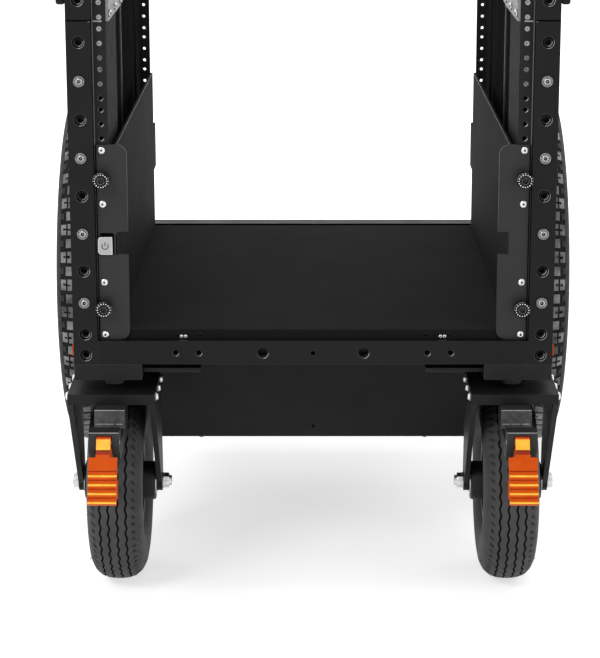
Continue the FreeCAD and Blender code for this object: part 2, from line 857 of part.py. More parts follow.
def belly_parts():
    """The open-topped equipment box below the frame, its front panel and the small screws."""
    floor_z = base - size.belly_drop
    panel_front = front + size.belly_setback
    box_front = panel_front + size.belly_sheet
    box_rear = panel_front + size.belly_depth
    across = (-inner_face, inner_face)
    wall_y, wall_z = (box_front, box_rear), (floor_z, base + size.belly_lap)
    wall_x = [span(sign, inner_face - size.belly_sheet, inner_face) for _, sign in SIDES]
    walls = [box(x, wall_y, wall_z) for x in wall_x]
    floor = box(across, (box_front, box_rear), (floor_z, floor_z + size.belly_sheet))
    back = box(across, (box_rear - size.belly_sheet, box_rear), (floor_z, base))
    label("belly_box", fuse(floor, back, *walls))
    panel = box(across, (panel_front, box_front), (floor_z, base))
    hole_start = (0, panel_front, floor_z + size.belly_hole_height)
    hole = rod("y", size.belly_hole_radius, hole_start, size.belly_sheet)
    label("belly_front_panel", cut(panel, hole))
    screws = []
    for _, sign in SIDES:
        below = (size.panel_screw_offset * sign, box_front + size.panel_screw_inset)
        start = (*below, floor_z - size.small_screw_head_height)
        screws.append(small_screw("z", size.panel_screw_radius, start))
        for step in range(2):
            x = (size.tray_screw_offset + size.tray_screw_gap * step) * sign
            start = (x, rail_face - size.small_screw_head_height, deck + size.tray_screw_height)
            screws.append(small_screw("y", size.small_screw_radius, start))
    label("small_screws", group(*screws))


def mount_parts():
    """The caster mounting blocks with a flat bar beside each, and the kingpin bores in them."""
    solids = []
    for _, sign in SIDES:
        inboard = outer_face - size.mount_block_side
        z = (base - size.mount_block_height, base)
        block = box(span(sign, inboard, outer_face), (front, front + size.mount_block_side), z)
        bore_depth = size.kingpin_reach + size.kingpin_end_play
        radius = size.kingpin_radius + size.running_clearance
        bore = rod("z", radius, (swivel_x * sign, swivel_y, z[0]), bore_depth)
        bar_y = (front + size.mount_bar_setback, front + size.mount_bar_setback + size.mount_bar_depth)
        bar_x = span(sign, inboard - size.mount_bar_length, inboard)
        solids.append(cut(block, bore))
        bar_low = z[0] + size.mount_bar_rise
        solids.append(box(bar_x, bar_y, (bar_low, bar_low + size.mount_bar_thickness)))
    label("caster_mounts", group(*solids))


def leg_screw_places():
    """Places along the fork plate of the screws that hold each leg."""
    return [swivel_y + size.leg_screw_gap * step for step in (-1, 0, 1)]


def fork_plate(x):
    """The fork's top plate with its kingpin, drilled at both edges for the leg screws."""
    half = size.fork_width / 2 - size.fork_leg
    y = (swivel_y - size.fork_length / 2, swivel_y + size.fork_length / 2)
    slab = box((x - half, x + half), y, (fork_bottom, fork_top))
    reach = size.swivel_gap + size.kingpin_reach
    kingpin = rod("z", size.kingpin_radius, (x, swivel_y, fork_top), reach)
    depth = size.leg_screw_length - size.fork_leg
    height = (fork_bottom + fork_top) / 2
    holes = []
    for y_place in leg_screw_places():
        for start in (x - half, x + half - depth):
            holes.append(rod("x", size.leg_screw_radius, (start, y_place, height), depth))
    return fuse(cut(slab, *holes), kingpin)


def fork_leg(x_low):
    """One leg of a fork: it tapers back and down to a round end at the axle."""
    y = (swivel_y - size.fork_length / 2, swivel_y + size.fork_length / 2)
    corners = [
        (y[0], fork_top),
        (y[0], fork_bottom),
        (caster_axle_y - size.leg_boss_radius, caster_axle_z),
        (caster_axle_y + size.leg_boss_radius, caster_axle_z),
        (y[1], fork_bottom),
        (y[1], fork_top),
    ]
    blade = plate("YZ", x_low, size.fork_leg, corners)
    axle_place = (x_low, caster_axle_y, caster_axle_z)
    height = (fork_bottom + fork_top) / 2
    holes = [rod("x", size.caster_axle_radius, axle_place, size.fork_leg)]
    for y_place in leg_screw_places():
        holes.append(rod("x", size.leg_screw_radius, (x_low, y_place, height), size.fork_leg))
    return cut(fuse(blade, rod("x", size.leg_boss_radius, axle_place, size.fork_leg)), *holes)


def leg_screw(x, y_place, way):
    """A screw through a leg into the fork plate, from the outside."""
    face = x + size.fork_width / 2 * way
    height = (fork_bottom + fork_top) / 2
    outward = way > 0
    shank_start = face - size.leg_screw_length if outward else face
    head_start = face if outward else face - size.leg_screw_head_height
    shank = rod("x", size.leg_screw_radius, (shank_start, y_place, height), size.leg_screw_length)
    head_place = (head_start, y_place, height)
    return fuse(shank, rod("x", size.leg_screw_head_radius, head_place, size.leg_screw_head_height))


def caster_axle(x, sign):
    """The axle bolt: its hexagon head lies outboard."""
    face = size.fork_width / 2
    reach = size.fork_width + size.axle_nut_height + size.axle_end
    head_side = face if sign > 0 else -face - size.axle_head_height
    start = x - face - size.axle_nut_height - size.axle_end if sign > 0 else x - face
    shank = rod("x", size.caster_axle_radius, (start, caster_axle_y, caster_axle_z), reach)
    head_place = (x + head_side, caster_axle_y, caster_axle_z)
    return fuse(shank, hexagon("x", size.axle_hexagon_radius, head_place, size.axle_head_height))


def caster_fasteners(x, sign):
    """The leg screws, the axle nut and the pin of the brake pedal."""
    screws = [leg_screw(x, y_place, way) for y_place in leg_screw_places() for way in (-1, 1)]
    face = size.fork_width / 2
    nut_x = x - face - size.axle_nut_height if sign > 0 else x + face
    nut_start = (nut_x, caster_axle_y, caster_axle_z)
    nut = hexagon("x", size.axle_hexagon_radius, nut_start, size.axle_nut_height)
    bore = rod("x", size.caster_axle_radius, nut_start, size.axle_nut_height)
    half = size.brake_bracket_width / 2
    pin = rod("x", size.brake_pin_radius, (x - half, brake_pin_y, brake_pin_z), size.brake_bracket_width)
    return group(*screws, cut(nut, bore), pin)


brake_pin_y = place("brake_pin_y", front - size.brake_pin_ahead)
brake_pin_z = place("brake_pin_z", fork_bottom - size.brake_pin_drop)


def brake_housing(x):
    """The brake's housing below the fork plate, with arms to the two cheeks of the pedal."""
    half = size.brake_width / 2
    cheek_half = size.brake_bracket_width / 2
    slot_half = size.brake_slot_width / 2
    body_front = front - size.brake_housing_ahead
    body_rear = swivel_y - size.fork_length / 2 + size.brake_housing_lap
    body_low = fork_bottom - size.brake_housing_drop
    cheek_low = fork_bottom - size.brake_bracket_drop
    cheek_high = cheek_low + size.brake_bracket_height
    cheek_front = front - size.brake_bracket_ahead
    cheek_rear = cheek_front + size.brake_bracket_depth
    block = box((x - half, x + half), (body_front, body_rear), (body_low, fork_bottom))
    cheeks = box((x - cheek_half, x + cheek_half), (cheek_front, cheek_rear), (cheek_low, cheek_high))
    slot_z = (cheek_low, cheek_high - size.brake_slot_roof)
    slot = box((x - slot_half, x + slot_half), (cheek_front, cheek_rear), slot_z)
    start = (x - cheek_half, brake_pin_y, brake_pin_z)
    bore = rod("x", size.brake_pin_radius, start, size.brake_bracket_width)
    arm_y = (cheek_front + size.brake_arm_inset, body_rear)
    arm_low = fork_bottom - size.brake_arm_drop
    arm_z = (arm_low, arm_low + size.brake_arm_height)
    arms = [box(side, arm_y, arm_z) for side in (
        (x - cheek_half, x - slot_half), (x + slot_half, x + cheek_half))]
    return cut(fuse(block, cut(cheeks, slot), *arms), bore)


def pedal_corners():
    """The pedal plate's side outline in its own frame: the pin at zero, ribs across the face."""
    back = -(size.pedal_face - size.pedal_thickness)
    face = -size.pedal_face
    valley = face + size.pedal_rib_height
    corners = [(back, -size.pedal_bottom), (face, -size.pedal_bottom)]
    low = -size.pedal_bottom + size.pedal_end_land
    corners.append((face, low))
    for index in range(SIZES["pedal_ribs"]):
        start = low + size.pedal_rib_pitch * index
        groove_top = start + size.pedal_rib_pitch - size.pedal_rib_width
        corners.append((valley, start + size.pedal_rib_height / 2))
        corners.append((valley, groove_top))
        corners.append((face, groove_top + size.pedal_rib_height / 2))
        if index + 1 < SIZES["pedal_ribs"]:
            corners.append((face, start + size.pedal_rib_pitch))
    corners.append((face, -size.pedal_top))
    corners.append((back, -size.pedal_top))
    return corners


def pedal(x):
    """One casting: a ribbed pedal, a narrow neck on the pin, and the arm of the brake shoe."""
    back = -(size.pedal_face - size.pedal_thickness)
    face = -size.pedal_face
    radius = size.pedal_barrel_radius
    nose, bend = -size.pedal_nose_face, size.pedal_nose_round
    neck_corners = [
        (back, -size.pedal_top - size.pedal_rib_pitch / 2),
        (face, -size.pedal_top - size.pedal_rib_pitch / 2),
        (face, -size.pedal_neck_step),
        (-size.pedal_neck_face, -size.pedal_neck_step + size.pedal_step_slope),
        (-size.pedal_neck_face, -size.pedal_nose_low),
        (nose, -size.pedal_nose_low),
        (nose, radius - bend, bend * (1 - math.sqrt(0.5))),
        (nose + bend, radius),
        (0, radius),
        (0, -radius),
    ]
    arm = size.shoe_arm_half
    shoe_high = -size.shoe_drop + size.shoe_half_height
    shoe_low = -size.shoe_drop - size.shoe_half_height
    arm_corners = [
        (0, -arm),
        (0, arm),
        (size.shoe_reach, -size.shoe_drop + arm),
        (size.shoe_reach, shoe_high),
        (size.shoe_reach + size.shoe_top_thickness, shoe_high),
        (size.shoe_reach + size.shoe_bottom_thickness, shoe_low),
        (size.shoe_reach, shoe_low),
        (size.shoe_reach, -size.shoe_drop - arm),
    ]
    wide, narrow = size.pedal_width, size.pedal_neck_width
    pieces = [
        plate("YZ", -wide / 2, wide, pedal_corners()),
        plate("YZ", -narrow / 2, narrow, neck_corners),
        plate("YZ", -narrow / 2, narrow, arm_corners),
        rod("x", radius, (-narrow / 2, 0, 0), narrow),
    ]
    bore_radius = size.brake_pin_radius + size.running_clearance
    lever = cut(fuse(*pieces), rod("x", bore_radius, (-narrow / 2, 0, 0), narrow))
    lever.Placement = Placement(Vector(), Rotation(Vector(1, 0, 0), -SIZES["pedal_lean"]))
    tie(lever, Placement__Base__x=x, Placement__Base__y=brake_pin_y, Placement__Base__z=brake_pin_z)
    tie(lever, Placement__Rotation__Angle=-size.pedal_lean)
    return lever


def wheel_tyre(centre, seat_radius, seat_half, lip, shoulder, shoulder_half, bulge, radius):
    """A tyre turned from its seat on the rim, with arched sidewalls and crown."""
    foot = seat_half + lip
    lip_radius = seat_radius + lip + size.rim_gap
    corners = [
        (-seat_half, seat_radius),
        (seat_half, seat_radius),
        (seat_half, lip_radius),
        (foot, lip_radius, bulge),
        (shoulder_half, shoulder, radius - shoulder),
        (-shoulder_half, shoulder, bulge),
        (-foot, lip_radius),
        (-seat_half, lip_radius),
    ]
    return turned(centre, corners)


def caster_rim(centre):
    """A caster's rim, web and hub in one turned piece, bored for the axle."""
    bore = size.caster_axle_radius + size.running_clearance
    hub_half = size.fork_width / 2 - size.fork_leg - size.hub_end_play
    seat = size.caster_seat_radius
    inner = seat - size.caster_rim_wall
    foot = size.caster_seat_half + size.caster_lip
    lip = seat + size.caster_lip
    right_side = [
        (hub_half, bore),
        (hub_half, size.caster_hub_radius),
        (size.caster_web_half, size.caster_hub_radius),
        (size.caster_web_half, inner),
        (foot, inner),
        (foot, lip),
        (size.caster_seat_half, lip),
        (size.caster_seat_half, seat),
    ]
    left_side = [(-x, radius) for x, radius in reversed(right_side)]
    return turned(centre, right_side + left_side)


def rear_rim(centre):
    """The channel-shaped rim of a rear wheel."""
    seat = size.rear_seat_radius
    foot = size.rear_seat_half + size.rear_lip
    lip = seat + size.rear_lip
    right_side = [
        (foot, seat - size.rear_rim_wall),
        (foot, lip),
        (size.rear_seat_half, lip),
        (size.rear_seat_half, seat),
    ]
    left_side = [(-x, radius) for x, radius in reversed(right_side)]
    return turned(centre, right_side + left_side)


def rear_hub(centre):
    """A rear hub with its two flanges, and the spokes that run from them to the rim."""
    bore = size.rear_axle_radius + size.running_clearance
    low = size.rear_flange_offset - size.rear_flange_thickness / 2
    high = size.rear_flange_offset + size.rear_flange_thickness / 2
    right_side = [
        (size.rear_hub_half, bore),
        (size.rear_hub_half, size.rear_hub_radius),
        (high, size.rear_hub_radius),
        (high, size.rear_flange_radius),
        (low, size.rear_flange_radius),
        (low, size.rear_hub_radius),
    ]
    left_side = [(-x, radius) for x, radius in reversed(right_side)]
    spokes = []
    step = value(360.0) / size.rear_spokes
    for index in range(SIZES["rear_spokes"]):
        way = 1 if index % 2 == 0 else -1
        angle = step * index
        x = centre[0] + size.rear_flange_offset * way
        y = centre[1] - size.rear_flange_radius * sine(angle)
        z = centre[2] + size.rear_flange_radius * cosine(angle)
        rim_inner = size.rear_seat_radius - size.rear_rim_wall
        length = rim_inner - size.rear_flange_radius - size.spoke_play
        spoke = rod("z", size.rear_spoke_radius, (x, y, z), length)
        spoke.Placement = Placement(spoke.Placement.Base, Rotation(Vector(1, 0, 0), angle.number))
        tie(spoke, Placement__Rotation__Angle=angle)
        spokes.append(spoke)
    return group(turned(centre, right_side + left_side), *spokes)


def caster_parts():
    """Both casters: fork, swivel bearing, wheel and brake."""
    for name, sign in SIDES:
        x = swivel_x * sign
        half = size.fork_width / 2
        label(f"{name}_fork_plate", fork_plate(x))
        label(f"{name}_fork_legs", group(fork_leg(x - half), fork_leg(x + half - size.fork_leg)))
        centre = (x, swivel_y, fork_top)
        height = size.swivel_gap - size.swivel_play
        ring = rod("z", size.swivel_bearing_radius, centre, height)
        label(f"{name}_swivel_bearing", cut(ring, rod("z", size.kingpin_radius, centre, height)))
        label(f"{name}_caster_axle", caster_axle(x, sign))
        label(f"{name}_caster_fasteners", caster_fasteners(x, sign))
        label(f"{name}_brake_housing", brake_housing(x))
        label(f"{name}_brake_pedal", pedal(x))
        centre = (x, caster_axle_y, caster_axle_z)
        label(f"{name}_caster_rim", caster_rim(centre))
        tyre = wheel_tyre(
            centre,
            size.caster_seat_radius,
            size.caster_seat_half,
            size.caster_lip,
            size.caster_tyre_shoulder,
            size.caster_tyre_shoulder_half,
            size.caster_tyre_bulge,
            size.caster_tyre_radius,
        )
        label(f"{name}_caster_tyre", tyre)


def axle_plate(sign):
    """The plate on the outside of a rear post that carries the stub axle."""
    x_low = outer_face if sign > 0 else -outer_face - size.axle_plate
    front_edge = rear - size.axle_plate_depth
    plate_top = deck + size.axle_plate_lap
    boss = size.axle_plate_boss_radius
    corners = [
        (front_edge, base),
        (rear_axle_y - boss, rear_axle_z),
        (rear_axle_y + boss, rear_axle_z),
        (rear, base),
        (rear, plate_top),
        (rear - size.tube, plate_top),
        (rear - size.tube, deck),
        (front_edge, deck),
    ]
    blade = plate("YZ", x_low, size.axle_plate, corners)
    centre = (x_low, rear_axle_y, rear_axle_z)
    holes = [rod("x", size.rear_axle_radius, centre, size.axle_plate)]
    for y_place, z_place in axle_bolt_places():
        holes.append(rod("x", size.axle_plate_bolt_radius, (x_low, y_place, z_place), size.axle_plate))
    return cut(fuse(blade, rod("x", boss, centre, size.axle_plate)), *holes)


def axle_bolt_places():
    """Where an axle plate is bolted to the post and to the side beam."""
    margin = size.axle_plate_bolt_margin
    return [
        (rear - margin, deck + size.axle_plate_lap - margin),
        (rear - margin, deck),
        (rear - size.axle_plate_depth + margin, base + size.tube / 2),
    ]


def axle_bolt(sign, y_place, z_place):
    """A bolt whose head clamps the axle plate; its shank ends at the tube's wall."""
    face = outer_face + size.axle_plate
    shank = span(sign, outer_face, face)
    head = span(sign, face, face + size.axle_plate_bolt_head_height)
    place_of_shank = (shank[0], y_place, z_place)
    shank_rod = rod("x", size.axle_plate_bolt_radius, place_of_shank, size.axle_plate)
    place_of_head = (head[0], y_place, z_place)
    height = size.axle_plate_bolt_head_height
    return fuse(shank_rod, rod("x", size.axle_plate_bolt_head_radius, place_of_head, height))


def rear_axle(sign):
    """A stub axle with the collar that spaces the wheel from its plate."""
    inner = outer_face - size.axle_inner_nut_height
    outer = size.rear_track / 2 + size.rear_hub_half + size.hub_end_play + size.rear_nut_height
    collar_inner = outer_face + size.axle_plate
    collar_outer = size.rear_track / 2 - size.rear_hub_half - size.hub_end_play
    shank = span(sign, inner, outer)
    collar = span(sign, collar_inner, collar_outer)
    pin = rod("x", size.rear_axle_radius, (shank[0], rear_axle_y, rear_axle_z), outer - inner)
    start = (collar[0], rear_axle_y, rear_axle_z)
    return fuse(pin, rod("x", size.rear_collar_radius, start, collar_outer - collar_inner))


def axle_nut(x, height):
    """A nut on a stub axle."""
    start = (x[0], rear_axle_y, rear_axle_z)
    bore = rod("x", size.rear_axle_radius, start, height)
    return cut(hexagon("x", size.rear_nut_radius, start, height), bore)


def rear_fasteners():
    """The bolts of both axle plates, and the inner and outer nuts of both stub axles."""
    solids = []
    hub_end = size.rear_track / 2 + size.rear_hub_half + size.hub_end_play
    for _, sign in SIDES:
        solids += [axle_bolt(sign, *bolt_place) for bolt_place in axle_bolt_places()]
        inner_nut = span(sign, outer_face - size.axle_inner_nut_height, outer_face)
        outer_nut = span(sign, hub_end, hub_end + size.rear_nut_height)
        solids.append(axle_nut(inner_nut, size.axle_inner_nut_height))
        solids.append(axle_nut(outer_nut, size.rear_nut_height))
    return group(*solids)


lever_y = place("lever_y", rear_axle_y - size.lever_pivot_back)
lever_z = place("lever_z", base - size.lever_pivot_drop)


def lever_bracket(sign):
    """The bracket below a side beam with the pin that a hand-brake lever turns on."""
    x = span(sign, outer_face, outer_face + size.lever_bracket_thickness)
    y = (lever_y - size.lever_bracket_depth / 2, lever_y + size.lever_bracket_depth / 2)
    block = box(x, y, (lever_z - size.lever_bracket_boss, deck))
    reach = size.lever_bracket_thickness + size.lever_play + size.lever_thickness
    pin_x = span(sign, outer_face, outer_face + reach)
    return fuse(block, rod("x", size.lever_pin_radius, (pin_x[0], lever_y, lever_z), reach))


def brake_lever(sign):
    """A hand-brake lever: a long handle to the front, and a shoe that stays back from the tyre."""
    inner = outer_face + size.lever_bracket_thickness + size.lever_play
    arm_x = span(sign, inner, inner + size.lever_thickness)
    shoe_x = span(sign, inner, inner + size.lever_thickness + size.lever_shoe_width)
    shoe_rear = rear_axle_y - size.rear_tyre_radius - size.lever_shoe_back
    shoe_front = shoe_rear - size.lever_shoe_thickness
    shoe_top = lever_z - size.lever_shoe_rise
    half = size.lever_half_height
    handle_end = lever_y - size.lever_front
    bar = box(arm_x, (handle_end, shoe_rear), (lever_z - half, lever_z + half))
    drop = box(arm_x, (shoe_front, shoe_rear), (shoe_top - size.lever_shoe_height, lever_z))
    shoe = box(shoe_x, (shoe_front, shoe_rear), (shoe_top - size.lever_shoe_height, shoe_top))
    radius = size.lever_pin_radius + size.running_clearance
    bore = rod("x", radius, (arm_x[0], lever_y, lever_z), size.lever_thickness)
    return cut(fuse(bar, drop, shoe), bore)


def rear_parts():
    """Axle plates, stub axles, rear wheels and their hand brakes."""
    label("rear_axle_plates", group(*[axle_plate(sign) for _, sign in SIDES]))
    label("rear_axles", group(*[rear_axle(sign) for _, sign in SIDES]))
    label("rear_axle_fasteners", rear_fasteners())
    label("brake_lever_brackets", group(*[lever_bracket(sign) for _, sign in SIDES]))
    for name, sign in SIDES:
        centre = (size.rear_track / 2 * sign, rear_axle_y, rear_axle_z)
        label(f"{name}_rear_hub", rear_hub(centre))
        label(f"{name}_rear_rim", rear_rim(centre))
        tyre = wheel_tyre(
            centre,
            size.rear_seat_radius,
            size.rear_seat_half,
            size.rear_lip,
            size.rear_tyre_shoulder,
            size.rear_tyre_shoulder_half,
            size.rear_tyre_bulge,
            size.rear_tyre_radius,
        )
        label(f"{name}_rear_tyre", tyre)
        label(f"{name}_brake_lever", brake_lever(sign))


def check():
    """Stop if any object failed or any sub-part has no valid shape."""
    for item in doc.Objects:
        if {"Invalid", "Error"} & set(item.State):
            raise SystemExit(f"{item.Name} ({item.Label}) is {item.State}")
    for part in sub_parts:
        if part.Shape.isNull() or not part.Shape.isValid() or not part.Shape.Solids:
            raise SystemExit(f"{part.Label} has no valid shape")


def export():
    os.makedirs("parts", exist_ok=True)
    for part in sub_parts:
        part.Shape.exportStep(f"parts/{part.Label}.step")


frame_parts()
rack_parts()
cradle_parts()
power_button()
belly_parts()
mount_parts()
caster_parts()
rear_parts()
doc.recompute()
check()
export()
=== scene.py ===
import json
import random
from math import atan2, copysign, cos, pi, radians, sin

import bmesh
import bpy
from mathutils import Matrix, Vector


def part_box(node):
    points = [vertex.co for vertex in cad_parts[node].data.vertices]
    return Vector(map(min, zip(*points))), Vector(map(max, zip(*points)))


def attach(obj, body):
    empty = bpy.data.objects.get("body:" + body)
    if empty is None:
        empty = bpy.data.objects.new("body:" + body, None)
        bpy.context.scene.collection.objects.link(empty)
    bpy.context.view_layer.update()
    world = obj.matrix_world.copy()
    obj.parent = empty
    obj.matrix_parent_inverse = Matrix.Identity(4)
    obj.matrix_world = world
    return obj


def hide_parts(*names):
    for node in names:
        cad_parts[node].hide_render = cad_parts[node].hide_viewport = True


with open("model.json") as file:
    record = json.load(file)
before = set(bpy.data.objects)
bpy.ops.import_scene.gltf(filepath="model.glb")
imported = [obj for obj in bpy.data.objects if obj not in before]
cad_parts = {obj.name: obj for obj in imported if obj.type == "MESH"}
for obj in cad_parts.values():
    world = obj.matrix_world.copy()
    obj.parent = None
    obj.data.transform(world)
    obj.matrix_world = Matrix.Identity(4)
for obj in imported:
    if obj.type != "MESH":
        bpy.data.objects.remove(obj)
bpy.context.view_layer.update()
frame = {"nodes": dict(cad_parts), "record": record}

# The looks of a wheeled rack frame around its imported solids.  Lengths are metres.
MM = 0.001
TURN = 2 * pi
SIDES = (("left", -1), ("right", 1))
RACK_UNIT = 0.04445
RACK_STEP = 0.015875
NEAR = 0.0005            # how close to a face or an edge counts as on it
MOUNTS = {mount["name"]: mount for mount in frame["record"]["mounts"]}
BODY_OF = {node: body for body, members in frame["record"]["behaviour"]["bodies"].items()
           for node in members}
LOOKS = {}


# ---------------- materials


def add_node(tree, kind, *sources, **inputs):
    """A shader node: sources go into its first inputs, and inputs are levels or sources by name.

    A _ in an input's name stands for a space.
    """
    node = tree.nodes.new("ShaderNode" + kind)
    for index, source in enumerate(sources):
        tree.links.new(source, node.inputs[index])
    for name, level in inputs.items():
        socket = node.inputs[name.replace("_", " ")]
        if isinstance(level, bpy.types.NodeSocket):
            tree.links.new(level, socket)
        else:
            socket.default_value = level
    return node


class Look:
    """A procedural material, built up from noise in the object's own coordinates."""

    def __init__(self, name, metallic, specular):
        material = LOOKS[name] = bpy.data.materials.new(name)
        material.use_nodes = True
        self.tree = material.node_tree
        self.shader = self.tree.nodes["Principled BSDF"]
        self.shader.inputs["Metallic"].default_value = metallic
        self.shader.inputs["Specular IOR Level"].default_value = specular
        self.place = add_node(self.tree, "TexCoord").outputs["Object"]

    def noise(self, scale, detail, stretch=(1, 1, 1), rough=0.55):
        place = add_node(self.tree, "Mapping", self.place, Scale=stretch).outputs[0]
        return add_node(self.tree, "TexNoise", place, Scale=scale, Detail=detail,
                        Roughness=rough).outputs["Fac"]

    def ramp(self, source, dark, light, start=0.3, end=0.7):
        """A colour that goes from dark to light as the source goes from start to end."""
        ramp = add_node(self.tree, "ValToRGB", source)
        for stop, place, colour in zip(ramp.color_ramp.elements, (start, end), (dark, light)):
            stop.position = place
            stop.color = (*colour, 1)
        return ramp.outputs["Color"]

    def mix(self, factor, first, second):
        """Two colours by a factor; a mix node's inputs 6 and 7 are its colours."""
        mix = add_node(self.tree, "Mix", factor)
        mix.data_type = "RGBA"
        self.tree.links.new(first, mix.inputs[6])
        self.tree.links.new(second, mix.inputs[7])
        return mix.outputs[2]

    def spread(self, source, low, high, start=0.3, end=0.7):
        """A number that goes from low to high as the source goes from start to end."""
        return add_node(self.tree, "MapRange", source, From_Min=start, From_Max=end, To_Min=low,
                        To_Max=high).outputs["Result"]

    def finish(self, colour, dull, rough, height, depth):
        bump = add_node(self.tree, "Bump", Height=height, Distance=depth)
        for name, source in (("Base Color", colour), ("Roughness", self.spread(dull, *rough)),
                             ("Normal", bump.outputs["Normal"])):
            self.tree.links.new(source, self.shader.inputs[name])


def tint(colour, warm=0.0):
    """A colour as it is, or a grey level as a colour, a little warmer or cooler."""
    if isinstance(colour, tuple):
        return colour
    return (colour * (1 + warm), colour, colour * (1 - warm))


def coated(name, dark, light, rough, specular=0.5, blotch=9, grain=1400, depth=2e-5,
           stretch=(1, 1, 1), scuff=None, metallic=0.0, warm=0.0):
    """Painted, anodised or moulded: soft blotches, fine grain, and now and then a scuff."""
    look = Look(name, metallic, specular)
    dark, light = tint(dark, warm), tint(light, warm)
    base = look.ramp(look.noise(blotch, 4, stretch), dark, light, 0.32, 0.68)
    fine = look.noise(grain, 2)
    if scuff:
        wear_and_glint = look.spread(look.noise(95, 6, (1, 1, 0.35), 0.7), 0, 1, 0.6, 0.78)
        base = look.mix(wear_and_glint, base, look.ramp(fine, light, tint(scuff), 0.3, 0.8))
    look.finish(base, look.noise(blotch * 2.7, 5, stretch), rough, fine, depth)


def metal(name, dark, light, rough, scale=260, depth=6e-6, stretch=(1, 1, 1), warm=0.0):
    """Bare or plated metal with fine lines or a fine mottle."""
    look = Look(name, 1.0, 0.5)
    lines = look.noise(scale, 4, stretch, 0.65)
    base = look.ramp(lines, tint(dark, warm), tint(light, warm))
    look.finish(base, look.noise(scale * 0.35, 4, stretch), rough, lines, depth)


coated("black_aluminium", 0.0034, 0.0050, (0.34, 0.46), 0.15, 9, 2600, 6e-6, (1, 1, 0.4),
       warm=-0.02)
# black_edge: lighter than the bodies it trims, edge wear and a painted highlight on the bevels.
coated("black_edge", 0.012, 0.022, (0.3, 0.42), 0.3, 9, 1800, 6e-6)
# lit_edge: a painted highlight on bevels, folds, beads and lips.
coated("lit_edge", 0.07, 0.12, (0.3, 0.42), 0.5, 40, 1800, 6e-6)
coated("black_sheet", 0.0105, 0.0120, (0.72, 0.78), 0.03, 6, 1500, 8e-6)
coated("belly_sheet", 0.0305, 0.0345, (0.5, 0.6), 0.12, 12, 1500)
# deep_black: a matt look for faces that look inward or sideways, painted shading.
coated("deep_black", 0.014, 0.019, (0.78, 0.86), 0.0, 18, 1100)
# bare_edge: bare metal at seams, and painted highlights in holes and on the thumbscrews.
coated("bare_edge", 0.22, 0.46, (0.3, 0.42), 0.6, 420, 1800, 1e-5)
# dull_edge: dimmer painted highlights in rail holes and round the thumbscrews' sockets.
coated("dull_edge", 0.03, 0.24, (0.34, 0.46), 0.5, 520, 1800, 1e-5)
coated("stub_steel", 0.07, 0.11, (0.5, 0.6), 0.2, 60, 1100)
# inner_black: a matt look for the rails' flanks and the housing's tops, painted shading.
coated("inner_black", 0.0100, 0.0130, (0.66, 0.78), 0.05, 18, 1100)
coated("ear_sheet", 0.0182, 0.0228, (0.42, 0.5), 0.24, 14, 1500, 1.6e-5)
coated("black_steel", 0.0055, 0.0085, (0.4, 0.52), 0.18, 18, 1100, 2.5e-5)
coated("black_plastic", 0.012, 0.020, (0.4, 0.55), 0.3, 9, 700, 5e-5)
coated("scuffed_plastic", 0.044, 0.096, (0.38, 0.55), 0.35, 150, 600, 7e-5, scuff=0.17)
# plastic_edge: the housing's pale lines, a painted highlight.
coated("plastic_edge", 0.20, 0.34, (0.35, 0.5), 0.5, 70, 900)
coated("black_knob", 0.004, 0.007, (0.34, 0.44), 0.16, 9, 1600, 1e-5)
# socket: dark inside screw sockets and threads, painted shade in these recesses.
coated("socket", 0.010, 0.022, (0.3, 0.5), 0.4, 9, 900)
coated("symbol", 0.04, 0.06, (0.5, 0.6), 0.2)
coated("orange_cast", (0.59, 0.070, 0.001), (0.69, 0.092, 0.0015), (0.38, 0.5), 0.12, 60, 1500,
       1.2e-5)
# orange_worn and orange_deep: painted highlight and painted shade on the pedal.
coated("orange_worn", (0.92, 0.40, 0.018), (1.0, 0.56, 0.035), (0.26, 0.36), 0.6, 90, 1500, 1e-5,
       metallic=0.2)
coated("orange_deep", (0.34, 0.020, 0.001), (0.42, 0.032, 0.001), (0.36, 0.46), 0.3, 9, 1500,
       1e-5)
coated("tyre", 0.044, 0.060, (0.6, 0.76), 0.3, 48, 700, 1.1e-4)
coated("rear_rubber", 0.026, 0.042, (0.64, 0.8), 0.2, 48, 700, 1.1e-4)
# tyre_groove and tyre_notch: painted shade in the caster tyres' grooves and notches.
coated("tyre_groove", 0.009, 0.018, (0.8, 0.9), 0.1)
coated("tyre_notch", 0.028, 0.042, (0.8, 0.9), 0.1)
# black_gap: dark joints, and painted shade in holes, beside the ears and above the button.
coated("black_gap", 0.002, 0.003, (0.8, 0.9), 0.0)
# knobs: paler tread block tops, a painted highlight; carcass and tread_cut: painted shade.
coated("knobs", 0.04, 0.36, (0.5, 0.7), 0.4, 34, 500, 1.2e-4)
coated("carcass", 0.010, 0.026, (0.7, 0.85), 0.1, 60, 900, 6e-5)
coated("tread_cut", 0.006, 0.013, (0.8, 0.9), 0.03)
# knurl_edge: the thumbscrews' bright dots, painted highlights.
metal("knurl_edge", 0.55, 0.85, (0.25, 0.36), 500)
metal("dark_rivet", 0.06, 0.10, (0.3, 0.42), 500)
metal("bolt_face", 0.07, 0.27, (0.4, 0.54), 620, 5e-5, warm=0.01)
